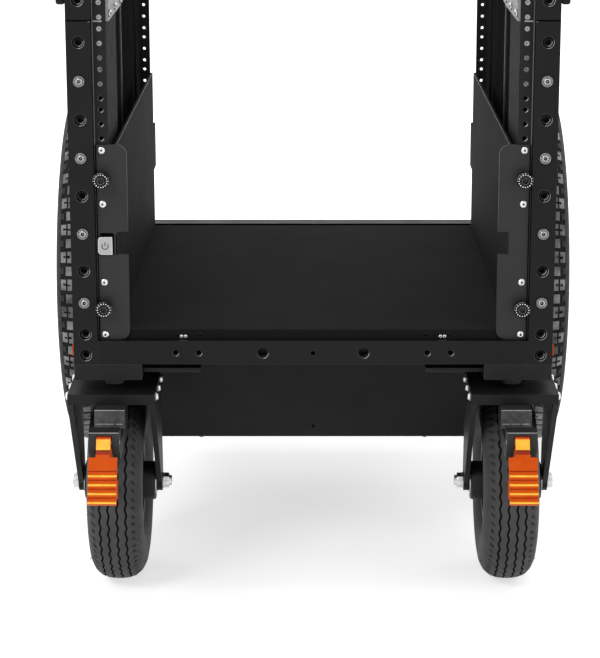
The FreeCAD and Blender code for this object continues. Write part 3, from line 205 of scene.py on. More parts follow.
# bolt_ring: the bolts' polished ring, and a painted glint in their sockets.
metal("bolt_ring", 0.2, 0.44, (0.3, 0.42), 620, warm=0.01)
metal("screw_steel", 0.5, 0.68, (0.32, 0.46), 620, 1.4e-5, warm=0.01)
metal("bright_screws", 0.6, 0.8, (0.24, 0.38), 620, 1.4e-5, warm=0.01)
metal("chrome", 0.45, 0.8, (0.26, 0.38), 320, 2e-5)
metal("bright_plate", 0.13, 0.2, (0.4, 0.52), 420, stretch=(1, 0.12, 1))
metal("button_silver", 0.31, 0.37, (0.44, 0.54), 1500, 1.5e-5, warm=0.01)
metal("button_rim", 0.48, 0.56, (0.3, 0.4), 1500)
metal("spoke_steel", 0.05, 0.1, (0.3, 0.45))
STEEL = ("black_steel", "black_edge")
PLASTIC = ("black_plastic", "black_edge")
ALUMINIUM = ("black_aluminium", "black_edge")


# ---------------- mesh helpers


def measured(low, high):
    """A box as its low corner, high corner, middle and size."""
    return low, high, (low + high) / 2, high - low


def box_of(node):
    return measured(*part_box(node))


def flank(low, high, sign):
    """The x of a box's right side, or of its left side."""
    return high.x if sign > 0 else low.x


def islands(node):
    """The boxes of the separate solids of a CAD node, sorted."""
    bm = bmesh.new()
    bm.from_mesh(frame["nodes"][node].data)
    bmesh.ops.remove_doubles(bm, verts=bm.verts, dist=1e-6)
    seen, boxes = set(), []
    for start in bm.verts:
        stack, points = [start], []
        while stack:
            vertex = stack.pop()
            if vertex not in seen:
                seen.add(vertex)
                points.append(vertex.co.copy())
                stack += [edge.other_vert(vertex) for edge in vertex.link_edges]
        if points:
            boxes.append([Vector([pick(line) for line in zip(*points)]) for pick in (min, max)])
    bm.free()
    boxes.sort(key=lambda pair: tuple(round(c, 4) for c in pair[0]))
    return [measured(*pair) for pair in boxes]


def settle(bm, node, looks, name=None, sharp=40, bevel=None, segments=2, edge=-1, lit=None,
           lit_width=0.0008):
    """Turns a bmesh into a piece, smooth with crisp edges, that rides with a node.

    A piece without a name of its own takes the node's place.  lit(edge) picks edges that get a
    wider bevel in the second look, a painted highlight along them.
    """
    bmesh.ops.recalc_face_normals(bm, faces=bm.faces)
    weights = bm.edges.layers.float.new("bevel_weight_edge") if lit else None
    for face in bm.faces:
        face.smooth = True
    for seam in bm.edges:
        if len(seam.link_faces) == 2 and seam.calc_face_angle(0.0) > radians(sharp):
            seam.smooth = False
            if lit and lit(seam):
                seam[weights] = 1.0
    title = name or f"{node}_body"
    mesh = bpy.data.meshes.new(title)
    bm.to_mesh(mesh)
    bm.free()
    piece = bpy.data.objects.new(title, mesh)
    bpy.context.scene.collection.objects.link(piece)
    for look in looks:
        mesh.materials.append(LOOKS[look])
    for width, steps, method, look in (
        (lit and lit_width, 2, "WEIGHT", 1), (bevel, segments, "ANGLE", edge),
    ):
        if width:
            modifier = piece.modifiers.new("Bevel", "BEVEL")
            modifier.width = width
            modifier.segments = steps
            modifier.limit_method = method
            modifier.angle_limit = radians(sharp)
            modifier.harden_normals = True
            modifier.material = look
    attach(piece, BODY_OF[node])
    if not name:
        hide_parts(node)


def copied(node):
    """A bmesh of the node's own shape, with its flat faces joined up."""
    bm = bmesh.new()
    bm.from_mesh(frame["nodes"][node].data)
    for face in bm.faces:
        face.material_index = 0
    bmesh.ops.remove_doubles(bm, verts=bm.verts, dist=2e-6)
    bmesh.ops.dissolve_limit(
        bm, angle_limit=radians(0.8), verts=bm.verts, edges=bm.edges)
    bm.normal_update()
    return bm


def dress(node, looks, bevel=0.0006, paint=None, edge=None, sharp=32, **more):
    """The node's own shape with softened edges that catch the light; where the bevels' look is
    lighter, it is a painted highlight along them.

    paint(face) gives the index of a face's look, edge the index of the bevels' look.
    """
    bm = copied(node)
    if paint:
        for face in bm.faces:
            face.material_index = paint(face)
    if edge is None:
        edge = 1 if len(looks) > 1 else -1
    settle(bm, node, looks, None, sharp, bevel, edge=edge, **more)


def hexagon(radius):
    """Radius of a hexagon with that corner radius, by angle."""
    return lambda angle: radius * cos(pi / 6) / cos((angle + pi / 6) % (pi / 3) - pi / 6)


def turned(bm, origin, axis, rings, count=36):
    """A turned solid from rings of (radius, height, material after it) along an axis.

    A radius may depend on the angle, and a material on the direction from the axis.
    """
    axis = Vector(axis).normalized()
    across = axis.orthogonal().normalized()
    up = axis.cross(across)

    def way(angle):
        return across * cos(angle) + up * sin(angle)

    angles = [TURN * step / count for step in range(count)]
    rows, marks = [], []
    for radius, height, *mark in rings:
        marks.append(mark[0] if mark else 0)
        centre = Vector(origin) + axis * height
        rows.append([bm.verts.new(
            centre + way(angle) * (radius(angle) if callable(radius) else radius))
            for angle in (angles[:1] if radius == 0 else angles)])
    for first, second, mark in zip(rows, rows[1:], marks):
        for step in range(count):
            a, b = first[step % len(first)], first[(step + 1) % len(first)]
            c, d = second[(step + 1) % len(second)], second[step % len(second)]
            corners = list(dict.fromkeys((a, b, c, d)))
            if len(corners) > 2:
                look = mark(way(TURN * (step + 0.5) / count)) if callable(mark) else mark
                bm.faces.new(corners).material_index = look


def scaled(*rings, radius=MM, height=MM):
    """Rings given in mm, or as shares of a radius and a height."""
    return [(reach if callable(reach) else reach * radius, rise * height, *mark)
            for reach, rise, *mark in rings]


def rod(bm, start, axis, radius, length, count=20):
    turned(bm, start, axis, ((0, 0), (radius, 0), (radius, length), (0, length)), count)


def block(bm, corner, opposite, material=0):
    """A box between two opposite corners."""
    low, high = (Vector([pick(pair) for pair in zip(corner, opposite)]) for pick in (min, max))
    made = bmesh.ops.create_cube(bm, size=1.0)["verts"]
    for vertex in made:
        vertex.co = (low + high) / 2 + Vector(
            [vertex.co[i] * (high[i] - low[i]) for i in range(3)])
    for face in {f for v in made for f in v.link_faces}:
        face.material_index = material


def skin(bm, rows, look=lambda row: 0):
    """Faces between closed rows of points; look(row) gives the index of their look."""
    for row, (first, second) in enumerate(zip(rows, rows[1:])):
        for step in range(len(first)):
            after = (step + 1) % len(first)
            face = bm.faces.new((first[step], first[after], second[after], second[step]))
            face.material_index = look(row)


def capped_skin(bm, rows, *look):
    skin(bm, rows, *look)
    bm.faces.new(rows[0])
    bm.faces.new(rows[-1])


def socket_head(bm, origin, axis, radius, height, dome, socket, count=36):
    """A button head with a hexagon socket."""
    key = hexagon(radius * socket)
    turned(bm, origin, axis, scaled(
        (0, 0), (0.97, 0), (1, 0.12), (1, 0.45), (0.97, 0.62), (0.86, 0.98 - dome * 0.35),
        (0.7, 1 - dome * 0.15), (socket + 0.16, 1), (socket + 0.05, 0.985), (key, 0.93, 1),
        (key, 0.3, 1), (0, 0.12, 1), radius=radius, height=height), count)


def nut(bm, origin, axis, radius, height, hole=0.0, count=36):
    """A hexagon nut or bolt head whose corners are turned off at its outer end."""
    corner = hexagon(radius)
    round_off = radius * 0.9
    rings = [(0, 0), (corner, 0), (corner, height * 0.84),
             (lambda angle: min(corner(angle), round_off + radius * 0.05), height * 0.93),
             (round_off * 0.97, height)]
    if hole:
        rings += [(hole * 1.12, height), (hole, height * 0.9), (hole, height * 0.1)]
        rings = rings[1:] + [rings[1]]
    else:
        rings += [(round_off * 0.6, height), (0, height * 0.99)]
    turned(bm, origin, axis, rings, count)


def between(points, x):
    """A smooth curve through (x, value) points, at x."""
    for index, ((x0, y0), (x1, y1)) in enumerate(zip(points, points[1:])):
        if x <= x1:
            before = points[max(index - 1, 0)]
            after = points[min(index + 2, len(points) - 1)]
            slope0 = (y1 - before[1]) / (x1 - before[0])
            slope1 = (after[1] - y0) / (after[0] - x0)
            t = (x - x0) / (x1 - x0)
            span = x1 - x0
            return ((1 + 2 * t) * (1 - t) ** 2 * y0 + t * (1 - t) ** 2 * span * slope0
                    + t * t * (3 - 2 * t) * y1 + t * t * (t - 1) * span * slope1)
    return points[-1][1]


# ---------------- frame, rails and cradle


def pattern(name):
    """The x and z places of a bolt pattern's holes, its depth y and the holes' radius."""
    mount = MOUNTS[name]
    x, y, z = mount["pos_m"]
    half_x = mount["dims"]["spacing_x_mm"] * MM / 2
    half_z = mount["dims"].get("spacing_y_mm", 0) * MM / 2
    heights = sorted({round(z - half_z, 6), round(z + half_z, 6)})
    places = [(x + side * half_x, height) for side in (-1, 1) for height in heights]
    return places, y, mount["dims"]["hole_r_mm"] * MM


def glint_crescent(spread):
    """The lower right part of a hole's edge gets a painted highlight; more of it as spread grows.
    """
    wear_and_glint = Vector((0.75, 0, -0.66))
    return lambda way: 1 if way.dot(wear_and_glint) > 1 - spread else 0


def thread(bm, start, axis, radius, chamfer, spread):
    """A tapped sleeve inside a hole: a lead-in with a painted highlight on one side, then ridges
    with a smaller painted highlight.
    """
    length, pitch, ridge = 0.0085, 0.00125, 0.0005
    outside = radius - 0.00006
    inside = outside - chamfer
    rings = [(outside, length), (outside, 0.0, glint_crescent(spread)), (inside, chamfer)]
    depth = chamfer
    while depth + pitch < length:
        rings.append((inside - ridge, depth + pitch / 2, glint_crescent(spread * 0.6)))
        rings.append((inside, depth + pitch))
        depth += pitch
    rings += [(inside - ridge, length), (outside, length)]
    turned(bm, start, axis, rings, 32)


def post_threads():
    """Tapped sleeves in the free holes up the posts, in the corner blocks and the beam.
    Their mouths get painted highlights at the lower right, and the post and corner holes a black
    liner in the countersink, painted shade.
    """
    bm = bmesh.new()
    mouth, depth = 0.0069, 0.0016
    for end, way in (("front", 1), ("rear", -1)):
        for level in ("post_holes_low", "post_holes_middle", "post_holes_high", "corner_holes"):
            places, y, radius = pattern(f"{end}_{level}")
            for x, z in places:
                thread(bm, (x, y, z), (0, way, 0), radius, 0.0007, 0.34)
                # A black liner over the countersink: painted shade.
                turned(bm, (x, y - way * depth, z), (0, way, 0), (
                    (mouth, -0.00003, glint_crescent(0.45)), (mouth - 0.0005, 0.0001, 2),
                    (radius - 0.0001, depth - 0.0001, 2), (radius - 0.0001, depth + 0.0003, 2),
                    (mouth, -0.00003)), 40)
    for name in ("large", "small_inner", "small_outer"):
        places, y, radius = pattern(f"front_beam_holes_{name}")
        for x, z in places:
            thread(bm, (x, y + 0.0003, z), (0, 1, 0), radius, 0.0006, 0.24)
    settle(bm, "front_left_post", ("socket", "bare_edge", "black_gap"), "post_threads", 50)


def rail_threads():
    """Tapped rings in the rails' rows of holes, black inside as painted shade, with painted
    highlights at their mouths that grow brighter towards the top of the front rails.
    """
    for end, way, name, cover in (("front", 1, "front_rack_holes_upper", "left_ear"),
                                  ("rear", -1, "rear_rack_holes", "cradle_rear_brackets")):
        bm = bmesh.new()
        places, face, radius = pattern(name)
        radius -= 0.00006
        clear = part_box(cover)[1].z + radius
        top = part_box("rear_rack_rails")[1].z - radius
        first = min(z for _, z in places)
        heights = [first + unit * RACK_UNIT + step * RACK_STEP
                   for unit in range(-6, 6) for step in range(3)]
        heights = [z for z in heights if clear < z < top]
        for x, z in [(x, z) for x in sorted({x for x, _ in places}) for z in heights]:
            rise = (z - clear) / (top - clear)
            # Paler hole mouths higher up: painted highlights, brighter towards the top.
            if end == "rear":
                lead, look = 0.0013, 0
            elif rise > 0.62:
                lead, look = 0.0027, 1
            elif rise > 0.38:
                lead, look = 0.0026, 3
            else:
                lead, look = 0.0010, glint_crescent(0.34)
            mouth = radius - (0.0004 if look in (1, 3) else 0.0)
            turned(bm, (x, face + way * 0.0002, z), (0, way, 0), (
                (radius, 0.0026), (radius, 0.0, 2), (mouth, 0.00005, look),
                (radius - lead, 0.0007, 2), (radius - lead, 0.0026), (radius, 0.0026)), 24)
        settle(bm, "front_left_rack_rail", ("socket", "bare_edge", "black_gap", "dull_edge"),
               f"{end}_rail_threads", 50)


def rail_beads():
    """The rolled outer edge of each front rail, in the lit edge look as a painted highlight, and
    the seam line across its face.
    """
    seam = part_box("front_left_post")[1].z
    radius = 0.00085
    for side, sign in SIDES:
        bm = bmesh.new()
        low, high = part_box(f"front_{side}_rack_rail")
        outer = flank(low, high, sign)
        rod(bm, (outer - radius * sign, low.y - 0.0001, low.z), (0, 0, 1), radius,
            high.z - low.z)
        block(bm, (outer - 0.0115 * sign, low.y - 0.0003, seam - 0.0026),
              (outer - 0.0020 * sign, low.y + 0.0004, seam - 0.0010), 1)
        settle(bm, f"front_{side}_rack_rail", ("lit_edge", "bare_edge"), f"{side}_rail_bead",
               bevel=0.0002)


def seam_gaps():
    """The dark joint between each post and its corner block, chipped at its inner end."""
    bm = bmesh.new()
    proud = 0.00006
    for node in ("front_left_post", "front_right_post", "rear_posts"):
        for low, high, *_ in islands(node):
            block(bm, (low.x - proud, low.y - proud, high.z - 0.0009),
                  (high.x + proud, high.y + proud, high.z + 0.0008))
            chip = high.x - 0.0022 if low.x < 0 else low.x + 0.0006
            block(bm, (chip, low.y - 0.0001, high.z - 0.0014),
                  (chip + 0.0016, low.y + 0.0002, high.z - 0.0009), 1)
    settle(bm, "front_left_post", ("black_gap", "bare_edge"), "seam_gaps")


def panel_folds():
    """The upright fold down the inside of each side panel, in the lit edge look as a painted
    highlight.
    """
    bm = bmesh.new()
    for low, high, *_ in islands("side_panels"):
        inner = high.x if low.x < 0 else low.x
        block(bm, (inner, -0.028, low.z + 0.004),
              (inner - copysign(0.0022, inner), -0.026, high.z - 0.004))
    settle(bm, "side_panels", ("lit_edge",), "panel_folds", bevel=0.0003)


def panel_rivets():
    """Flat rivet heads round the outside of each side panel, and along the belly box."""
    bm = bmesh.new()

    def rivets(low, high, sign, count, drop):
        for row in range(count):
            y = low.y + 0.030 + (high.y - low.y - 0.060) * row / (count - 1)
            for z in (low.z + 0.012, high.z - drop):
                socket_head(bm, (flank(low, high, sign), y, z), (sign, 0, 0), 0.0042, 0.0014,
                            0.9, 0.34, 24)

    for low, high, *_ in islands("side_panels"):
        rivets(low, high, 1 if low.x > 0 else -1, 6, 0.012)
    low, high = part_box("belly_box")
    for _, sign in SIDES:
        rivets(low, high, sign, 5, 0.014)
    settle(bm, "side_panels", ("dark_rivet", "socket"), "panel_rivets")


def ear_shadows():
    """The dark line down the outer side of each ear, beside the post."""
    bm = bmesh.new()
    for side, sign in SIDES:
        low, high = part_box(f"{side}_ear")
        outer = flank(low, high, sign)
        block(bm, (outer + 0.00005 * sign, low.y - 0.00008, low.z + 0.0004),
              (outer - 0.0010 * sign, low.y + 0.0008, high.z - 0.0004))
    settle(bm, "left_ear", ("black_gap",), "ear_shadows")


def belly_lip(edge):
    """Whether an edge is the lower front one of the belly panel, which gets a painted highlight.
    """
    a, b = (vertex.co for vertex in edge.verts)
    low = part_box("belly_front_panel")[0]
    return max(a.z, b.z) < low.z + 0.001 and max(a.y, b.y) < low.y + NEAR


def shaded_flank(face):
    """The third look, painted shading, where a face looks along X, as the flanks of the rails do.
    """
    return 2 if abs(face.normal.x) > 0.9 else 0


def shaded_inward_face(face):
    """The third look, painted shading, where a face of a side panel looks at the other panel."""
    return 2 if face.normal.x * face.calc_center_median().x < -0.1 else 0


for node, width in (
    ("front_left_post", 0.00035), ("front_right_post", 0.00035), ("rear_posts", 0.00035),
    ("front_base_beam", 0.0004), ("base_beams", 0.0005), ("top_beams", 0.0005),
    ("top_corner_blocks", 0.0004),
):
    dress(node, ALUMINIUM, width)
dress("outer_side_rails", ("black_aluminium",), 0.003, segments=4)
# The rails' sideways faces take a look of their own: painted shading.
for node, inside in (("front_left_rack_rail", "inner_black"),
                     ("front_right_rack_rail", "inner_black"), ("rear_rack_rails", "deep_black")):
    dress(node, ("black_steel", "lit_edge", inside), 0.0004, shaded_flank)
for node in ("cradle_tray", "cradle_sides", "cradle_rear_brackets"):
    dress(node, ("black_sheet", "black_edge"), 0.0004)
dress("belly_box", ("belly_sheet", "black_edge"), 0.0004)
dress("side_panels", ("black_sheet", "black_edge", "deep_black"), 0.0004, shaded_inward_face)
dress("belly_front_panel", ("belly_sheet", "lit_edge"), 0.0003, edge=-1, lit=belly_lip)
for node in ("left_ear", "right_ear"):
    dress(node, ("ear_sheet",), 0.0003)
dress("splice_plates", ("bright_plate",), 0.0004)
dress("caster_mounts", STEEL)
dress("rear_axle_plates", STEEL, 0.0008)
dress("brake_lever_brackets", STEEL, 0.0008)
post_threads()
rail_threads()
rail_beads()
seam_gaps()
panel_folds()
panel_rivets()
ear_shadows()


# ---------------- screws, bolts and nuts


def splice_screws():
    """The bright screws that hold each splice plate."""
    bm = bmesh.new()
    for low, high, *_ in islands("splice_plates"):
        face, way = (low.x, -1) if low.x > 0 else (high.x, 1)
        for y in (low.y + 0.009, low.y + 0.075, high.y - 0.012):
            for z in (low.z + 0.008, high.z - 0.008):
                socket_head(bm, (face, y, z), (way, 0, 0), 0.0045, 0.0028, 0.9, 0.4, 28)
    settle(bm, "splice_plates", ("screw_steel", "socket"), "splice_screws")


def driven(node, head):
    """The seat, axis, radius and shank length of each bolt, driven from the front or behind."""
    for low, high, middle, _ in islands(node):
        front = middle.y < 0
        seat = Vector((middle.x, low.y + head if front else high.y - head, middle.z))
        axis = Vector((0, -1 if front else 1, 0))
        yield seat, axis, (high.x - low.x) / 2, high.y - low.y - head


def post_bolts():
    """Flat-headed bolts: a mottled disc, a polished ring round a hexagon socket, and a pale bead
    at the socket's bottom as a painted glint.
    """
    bm = bmesh.new()
    head = 0.003
    for seat, axis, radius, length in driven("post_bolts", head):
        key = hexagon(radius * 0.36)
        # The rings in the second look at the socket's bottom make a pale bead: a painted glint.
        turned(bm, seat, axis, scaled(
            (0, 0), (0.97, 0), (1, 0.12), (1, 0.6), (0.95, 0.8), (0.88, 0.88), (0.68, 0.92, 2),
            (0.64, 0.82, 2), (0.58, 0.92, 1), (0.5, 1, 1), (0.43, 0.96, 1), (key, 0.9, 2),
            (key, 0.3, 2), (0.2, 0.25, 1), (0.1, 0.5, 1), (0, 0.55, 1), radius=radius,
            height=head), 48)
        turned(bm, seat, -axis, (
            (0, 0), (0.0046, 0), (0.0046, length * 0.94), (0.004, length), (0, length)), 24)
    settle(bm, "post_bolts", ("bolt_face", "bolt_ring", "socket"))


def ear_screws():
    """Rack screws, driven from the front into the ears and from behind into the rear tabs."""
    bm = bmesh.new()
    head = 0.0026
    for seat, axis, _, length in driven("ear_screws", head):
        socket_head(bm, seat, axis, 0.004, head, 0.7, 0.36)
        rod(bm, seat, -axis, 0.0030, length)
    settle(bm, "ear_screws", ("screw_steel", "socket"))


def small_screws():
    """Button heads on the front of a sheet or under one: the thinner side is their height."""
    bm = bmesh.new()
    for _, high, middle, size in islands("small_screws"):
        if size.y < size.x:
            seat, axis, height = (middle.x, high.y, middle.z), (0, -1, 0), size.y
        else:
            seat, axis, height = (middle.x, middle.y, high.z), (0, 0, -1), size.z
        socket_head(bm, seat, axis, size.x / 2, height, 1.0, 0.4, 28)
    settle(bm, "small_screws", ("chrome", "socket"))


def thumbscrew(node):
    """A black knob: a knurled side, a ring of bright dots on its chamfer as painted highlights of
    the knurl, and a key socket with a pale ring round it, a painted highlight.
    """
    low, high, middle, _ = box_of(node)
    radius, back = (high.x - low.x) / 2, low.y + 0.0085
    teeth = 16

    def knurl(reach, depth):
        return lambda angle: reach - depth * (0.5 - 0.5 * cos(angle * teeth))

    def glint(way):
        """A painted highlight on the chamfer, at its upper left and on its right."""
        return 4 if way.dot(Vector((-0.6, 0, 0.8))) > 0.55 or way.x > 0.85 else 0

    bm = bmesh.new()
    key = hexagon(0.0024)
    turned(bm, (middle.x, back, middle.z), (0, -1, 0), scaled(
        (0, 0), (6, 0), (8.4, 0.1), (knurl(0.0091, 0.0004), 0.7), (knurl(radius, 0.0007), 1.4),
        (knurl(radius, 0.0007), 6.2), (knurl(0.0092, 0.0006), 6.7, glint), (8.6, 7.4),
        (6.2, 7.9), (5, 7.8), (4, 8), (3.8, 8.5, 3), (3.4, 8.5), (3, 7.9), (key, 7.7),
        (key, 4.6, 2), (0, 4, 2)), teeth * 8)
    ring = 0.0070
    for step in range(teeth):
        angle = TURN * step / teeth
        start = (middle.x + ring * cos(angle), back - 0.00775, middle.z + ring * sin(angle))
        turned(bm, start, (0, -1, 0), scaled(
            (0, -0.2, 1), (0.62, -0.1, 1), (0.58, 0.2, 1), (0.3, 0.4, 1), (0, 0.46, 1)), 8)
    turned(bm, (middle.x, back - 0.0002, middle.z), (0, 1, 0), (
        (0, 0), (0.0058, 0), (0.0060, 0.0004), (0.0060, 0.0068), (0.0032, 0.0070),
        (0.0032, high.y - back), (0, high.y - back + 0.0002)), 40)
    settle(bm, node, ("black_knob", "knurl_edge", "socket", "dull_edge", "bare_edge"), sharp=38)


splice_screws()
post_bolts()
ear_screws()
small_screws()
for side, _ in SIDES:
    for level in ("lower", "upper"):
        thumbscrew(f"{side}_{level}_thumbscrew")


# ---------------- power button


def power_cap():
    """A soft-cornered cap, rounder on its left, on a stem."""
    low, high, middle, _ = box_of("power_button")
    face, back = low.y, low.y + 0.0045
    bm = bmesh.new()
    outline = []
    for corner_x, corner_z, radius, start in (
        (low.x, low.z, 0.0040, 180), (high.x, low.z, 0.0007, 270),
        (high.x, high.z, 0.0007, 0), (low.x, high.z, 0.0040, 90),
    ):
        centre_x = corner_x + radius * (1 if corner_x == low.x else -1)
        centre_z = corner_z + radius * (1 if corner_z == low.z else -1)
        for step in range(9):
            angle = radians(start + 90 * step / 8)
            outline.append((centre_x + radius * cos(angle), centre_z + radius * sin(angle)))
    rows = []
    for depth, inset in ((back, 0.0006), (back - 0.0006, 0.0), (face + 0.0009, 0.0),
                         (face + 0.0002, 0.0004), (face, 0.0009), (face + 0.0003, 0.0015),
                         (face + 0.0003, 0.004)):
        row = []
        for x, z in outline:
            way = Vector((middle.x - x, 0, middle.z - z)).normalized()
            row.append(bm.verts.new((x + way.x * inset, depth, z + way.z * inset)))
        rows.append(row)
    capped_skin(bm, rows, lambda row: 1 if 1 < row < 5 else 0)
    holes, *_ = pattern("front_rack_holes_upper")
    stem = (min(x for x, _ in holes), back - 0.0002, box_of("left_ear")[2].z)
    turned(bm, stem, (0, 1, 0), (
        (0, 0), (0.0032, 0), (0.0032, high.y - back), (0, high.y - back + 0.0002)), 24)
    settle(bm, "power_button", ("button_silver", "button_rim"))


def power_symbol():
    """The common power symbol: an open ring, and a bar through its gap."""
    low, _, middle, _ = box_of("power_button")
    bm = bmesh.new()
    centre = Vector((middle.x, low.y + 0.0003, middle.z - 0.0002))
    radius, half, sunk, proud = 0.0034, 0.00052, 0.0002, -0.00012
    gap, steps = 46, 40
    rows = []
    for step in range(steps + 1):
        angle = radians(90 + gap + (360 - 2 * gap) * step / steps)
        way = Vector((cos(angle), 0, sin(angle)))
        rows.append([bm.verts.new(centre + way * reach + Vector((0, lift, 0)))
                     for reach, lift in ((radius - half, sunk), (radius - half, proud),
                                         (radius + half, proud), (radius + half, sunk))])
    capped_skin(bm, rows)
    block(bm, centre + Vector((-half, proud, 0.0002)),
          centre + Vector((half, sunk, radius + 0.0012)))
    settle(bm, "power_button", ("symbol",), "power_button_symbol")


def button_strip():
    """The upright strip on the ear beside the button between two dark lines, and a dark patch
    above the button, a painted shadow.
    """
    low, high, middle, _ = box_of("power_button")
    ear_low, ear_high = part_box("left_ear")
    bm = bmesh.new()
    notch = ear_high.x - 0.012
    inside = ear_low.y + 0.0006
    for left, right, proud, look in ((-0.0046, -0.0035, 0.0003, 1), (-0.0035, -0.0016, 0.0008, 0),
                                     (-0.0016, -0.0004, 0.0003, 1)):
        block(bm, (notch + left, ear_low.y - proud, middle.z - 0.0105),
              (notch + right, inside, middle.z + 0.0125), look)
    # A dark patch above the button: a painted shadow.
    block(bm, (low.x + 0.0030, ear_low.y - 0.0001, high.z + 0.0004),
          (notch - 0.0046, inside, high.z + 0.0040), 1)
    settle(bm, "left_ear", ("ear_sheet", "black_gap"), "button_strip", bevel=0.0001)


power_cap()
power_symbol()
button_strip()


# ---------------- casters


class Tyre:
    """A tyre's profile from points in mm, fitted from a nominal to the solid's own radius.

    crown and wall are (across, radius) points of the right half, and tread is (across, lift,
    look) columns from left to right.  tags holds (across, radius if on a wall, look) by index.
    """

    def __init__(self, node, nominal, crown, wall, tread):
        low, high, self.centre, _ = box_of(node)
        self.rim = (high.z - low.z) / 2

        def fitted(points):
            return [(x * MM, (r - nominal) * MM + self.rim) for x, r in points]

        other = [(-x, r) for x, r in reversed(wall)]
        self.crown = fitted(crown)
        self.profile = (fitted(other) + [(x * MM, between(self.crown, abs(x) * MM) + lift * MM)
                                         for x, lift, _ in tread] + fitted(wall))
        self.tags = ([(*point, 0) for point in other] + [(x, 0, look) for x, _, look in tread]
                     + [(*point, 0) for point in wall])

    def carry_round(self, bm, count, shape):
        """The skin: shape(angle, index) is what to add to (across, radius) at a point."""
        rows = []
        for step in range(count):
            angle = TURN * step / count
            row = []
            for index, (across, radius) in enumerate(self.profile):
                more_across, more_radius = shape(angle, index)
                row.append(bm.verts.new(
                    self.at(across + more_across, radius + more_radius, angle)))
            rows.append(row)
        for first, second in zip(rows, rows[1:] + rows[:1]):
            for index, (_, _, look) in enumerate(self.tags):
                after = (index + 1) % len(first)
                face = bm.faces.new((first[index], second[index], second[after], first[after]))
                face.material_index = look

    def at(self, across, reach, angle):
        """A point by its angle from the top."""
        return Vector((self.centre.x + across, self.centre.y + reach * sin(angle),
                       self.centre.z + reach * cos(angle)))


def caster_tyre(side):
    """A ribbed tread with wavy grooves, notched shoulders and a few moulding hairs; the grooves
    and notches are darker, painted shade.
    """
    node = f"{side}_caster_tyre"
    nominal, waves, notches = 114.5, 47, 68
    grooves, width, depth = (-14.6, -5.0, 5.0, 14.6), 1.1, 3.0
    columns = []
    x = -28.2
    while x < 28.21:
        if all(abs(x - g) > width + 0.75 for g in grooves):
            columns.append((x, 0.0, 0))
        x += 1.88
    for g in grooves:
        columns += [(g - width - 0.45, 0.0, 0), (g - width, -0.3, 1),
                    (g - width + 0.35, -depth, 1), (g + width - 0.35, -depth, 1),
                    (g + width, -0.3, 0), (g + width + 0.45, 0.0, 0)]
    tyre = Tyre(node, nominal, ((0, 114.5), (5, 114.35), (11, 113.5), (16, 112.0), (20.5, 109.6),
                                (24, 106.9), (26.5, 104.2), (28.2, 101.2)),
                ((29.9, 96.5), (31.1, 90), (31.7, 83), (31.5, 76), (30.6, 70), (29.2, 65.4),
                 (27.6, 62.2), (25.6, 59.6), (24.4, 57.6), (20.2, 57.0), (20.0, 52.05)),
                sorted(columns))

    def notch(angle, x):
        """How far along a notch and the rubber after it a place is, from 0 to 1."""
        return (angle * notches / TURN + x * 0.09) % 1.0

    def shape(angle, index):
        x, wall, _ = tyre.tags[index]
        if wall:
            return copysign(0.45 * MM if 89 < wall < 97 else 0.0, x), 0.0
        zigzag = 4 * abs((angle * waves / TURN) % 1.0 - 0.5) - 1
        hold = max(0.0, min(1.0, (22.5 - abs(x)) / 4))
        cut = 20.4 < abs(x) < 26.6 and 0.28 < notch(angle, x) < 0.62
        return MM * zigzag * hold, -1.3 * MM if cut else 0.0

    bm = bmesh.new()
    tyre.carry_round(bm, waves * 8, shape)
    # Dark patches in the shoulder notches: painted shade.
    for face in bm.faces:
        spot = face.calc_center_median() - tyre.centre
        x = spot.x / MM
        if 21.3 < abs(x) < 25.0 and 0.26 < notch(atan2(spot.y, spot.z), x) < 0.64:
            face.material_index = 2
    rng = random.Random(11 if side == "left" else 23)
    for _ in range(16):
        angle = radians(rng.uniform(-150, 150))
        x = rng.choice((-1, 1)) * rng.uniform(25.0, 30.5)
        r = (rng.uniform(100, 106) if abs(x) < 28 else rng.uniform(80, 97)) - nominal
        start = tyre.at(x * 0.97 * MM, tyre.rim + (r - 1.2) * MM, angle)
        out = Vector((copysign(0.9, x), 0.5 * sin(angle), 0.5 * cos(angle)))
        length = rng.uniform(4.5, 7.0) * MM
        turned(bm, start, out, ((0, 0), (0.0006, 0), (0.0005, length * 0.6), (0, length)), 6)
    settle(bm, node, ("tyre", "tyre_groove", "tyre_notch"), sharp=30)


def caster_axle(side, sign):
    """The pin of one caster with a bolt head outside and a nut inside, each on a washer."""
    node = f"{side}_caster_axle"
    low, high, centre, _ = box_of(node)
    leg_low, leg_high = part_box(f"{side}_fork_legs")
    bm = bmesh.new()
    outer, inner, end = ((leg_high.x, leg_low.x, low.x) if sign > 0
                         else (leg_low.x, leg_high.x, high.x))
    for face, way, head, hole in ((outer, sign, 0.007, 0.0), (inner, -sign, 0.008, 0.0061)):
        start = Vector((face, centre.y, centre.z))
        turned(bm, start, (way, 0, 0), scaled(
            (0, 0), (9.4, 0), (9.6, 0.4), (9.6, 1.1), (9.2, 1.4), (0, 1.4)), 40)
        nut(bm, start + Vector((0.0012 * way, 0, 0)), (way, 0, 0), 0.009 * 0.985,
            head - 0.0013, hole)
    length = abs(end - outer)
    turned(bm, (outer, centre.y, centre.z), (-sign, 0, 0), (
        (0, 0), (0.006, 0), (0.006, length - 0.0008), (0.0053, length), (0, length)), 28)
    settle(bm, node, ("chrome", "socket"), sharp=34)


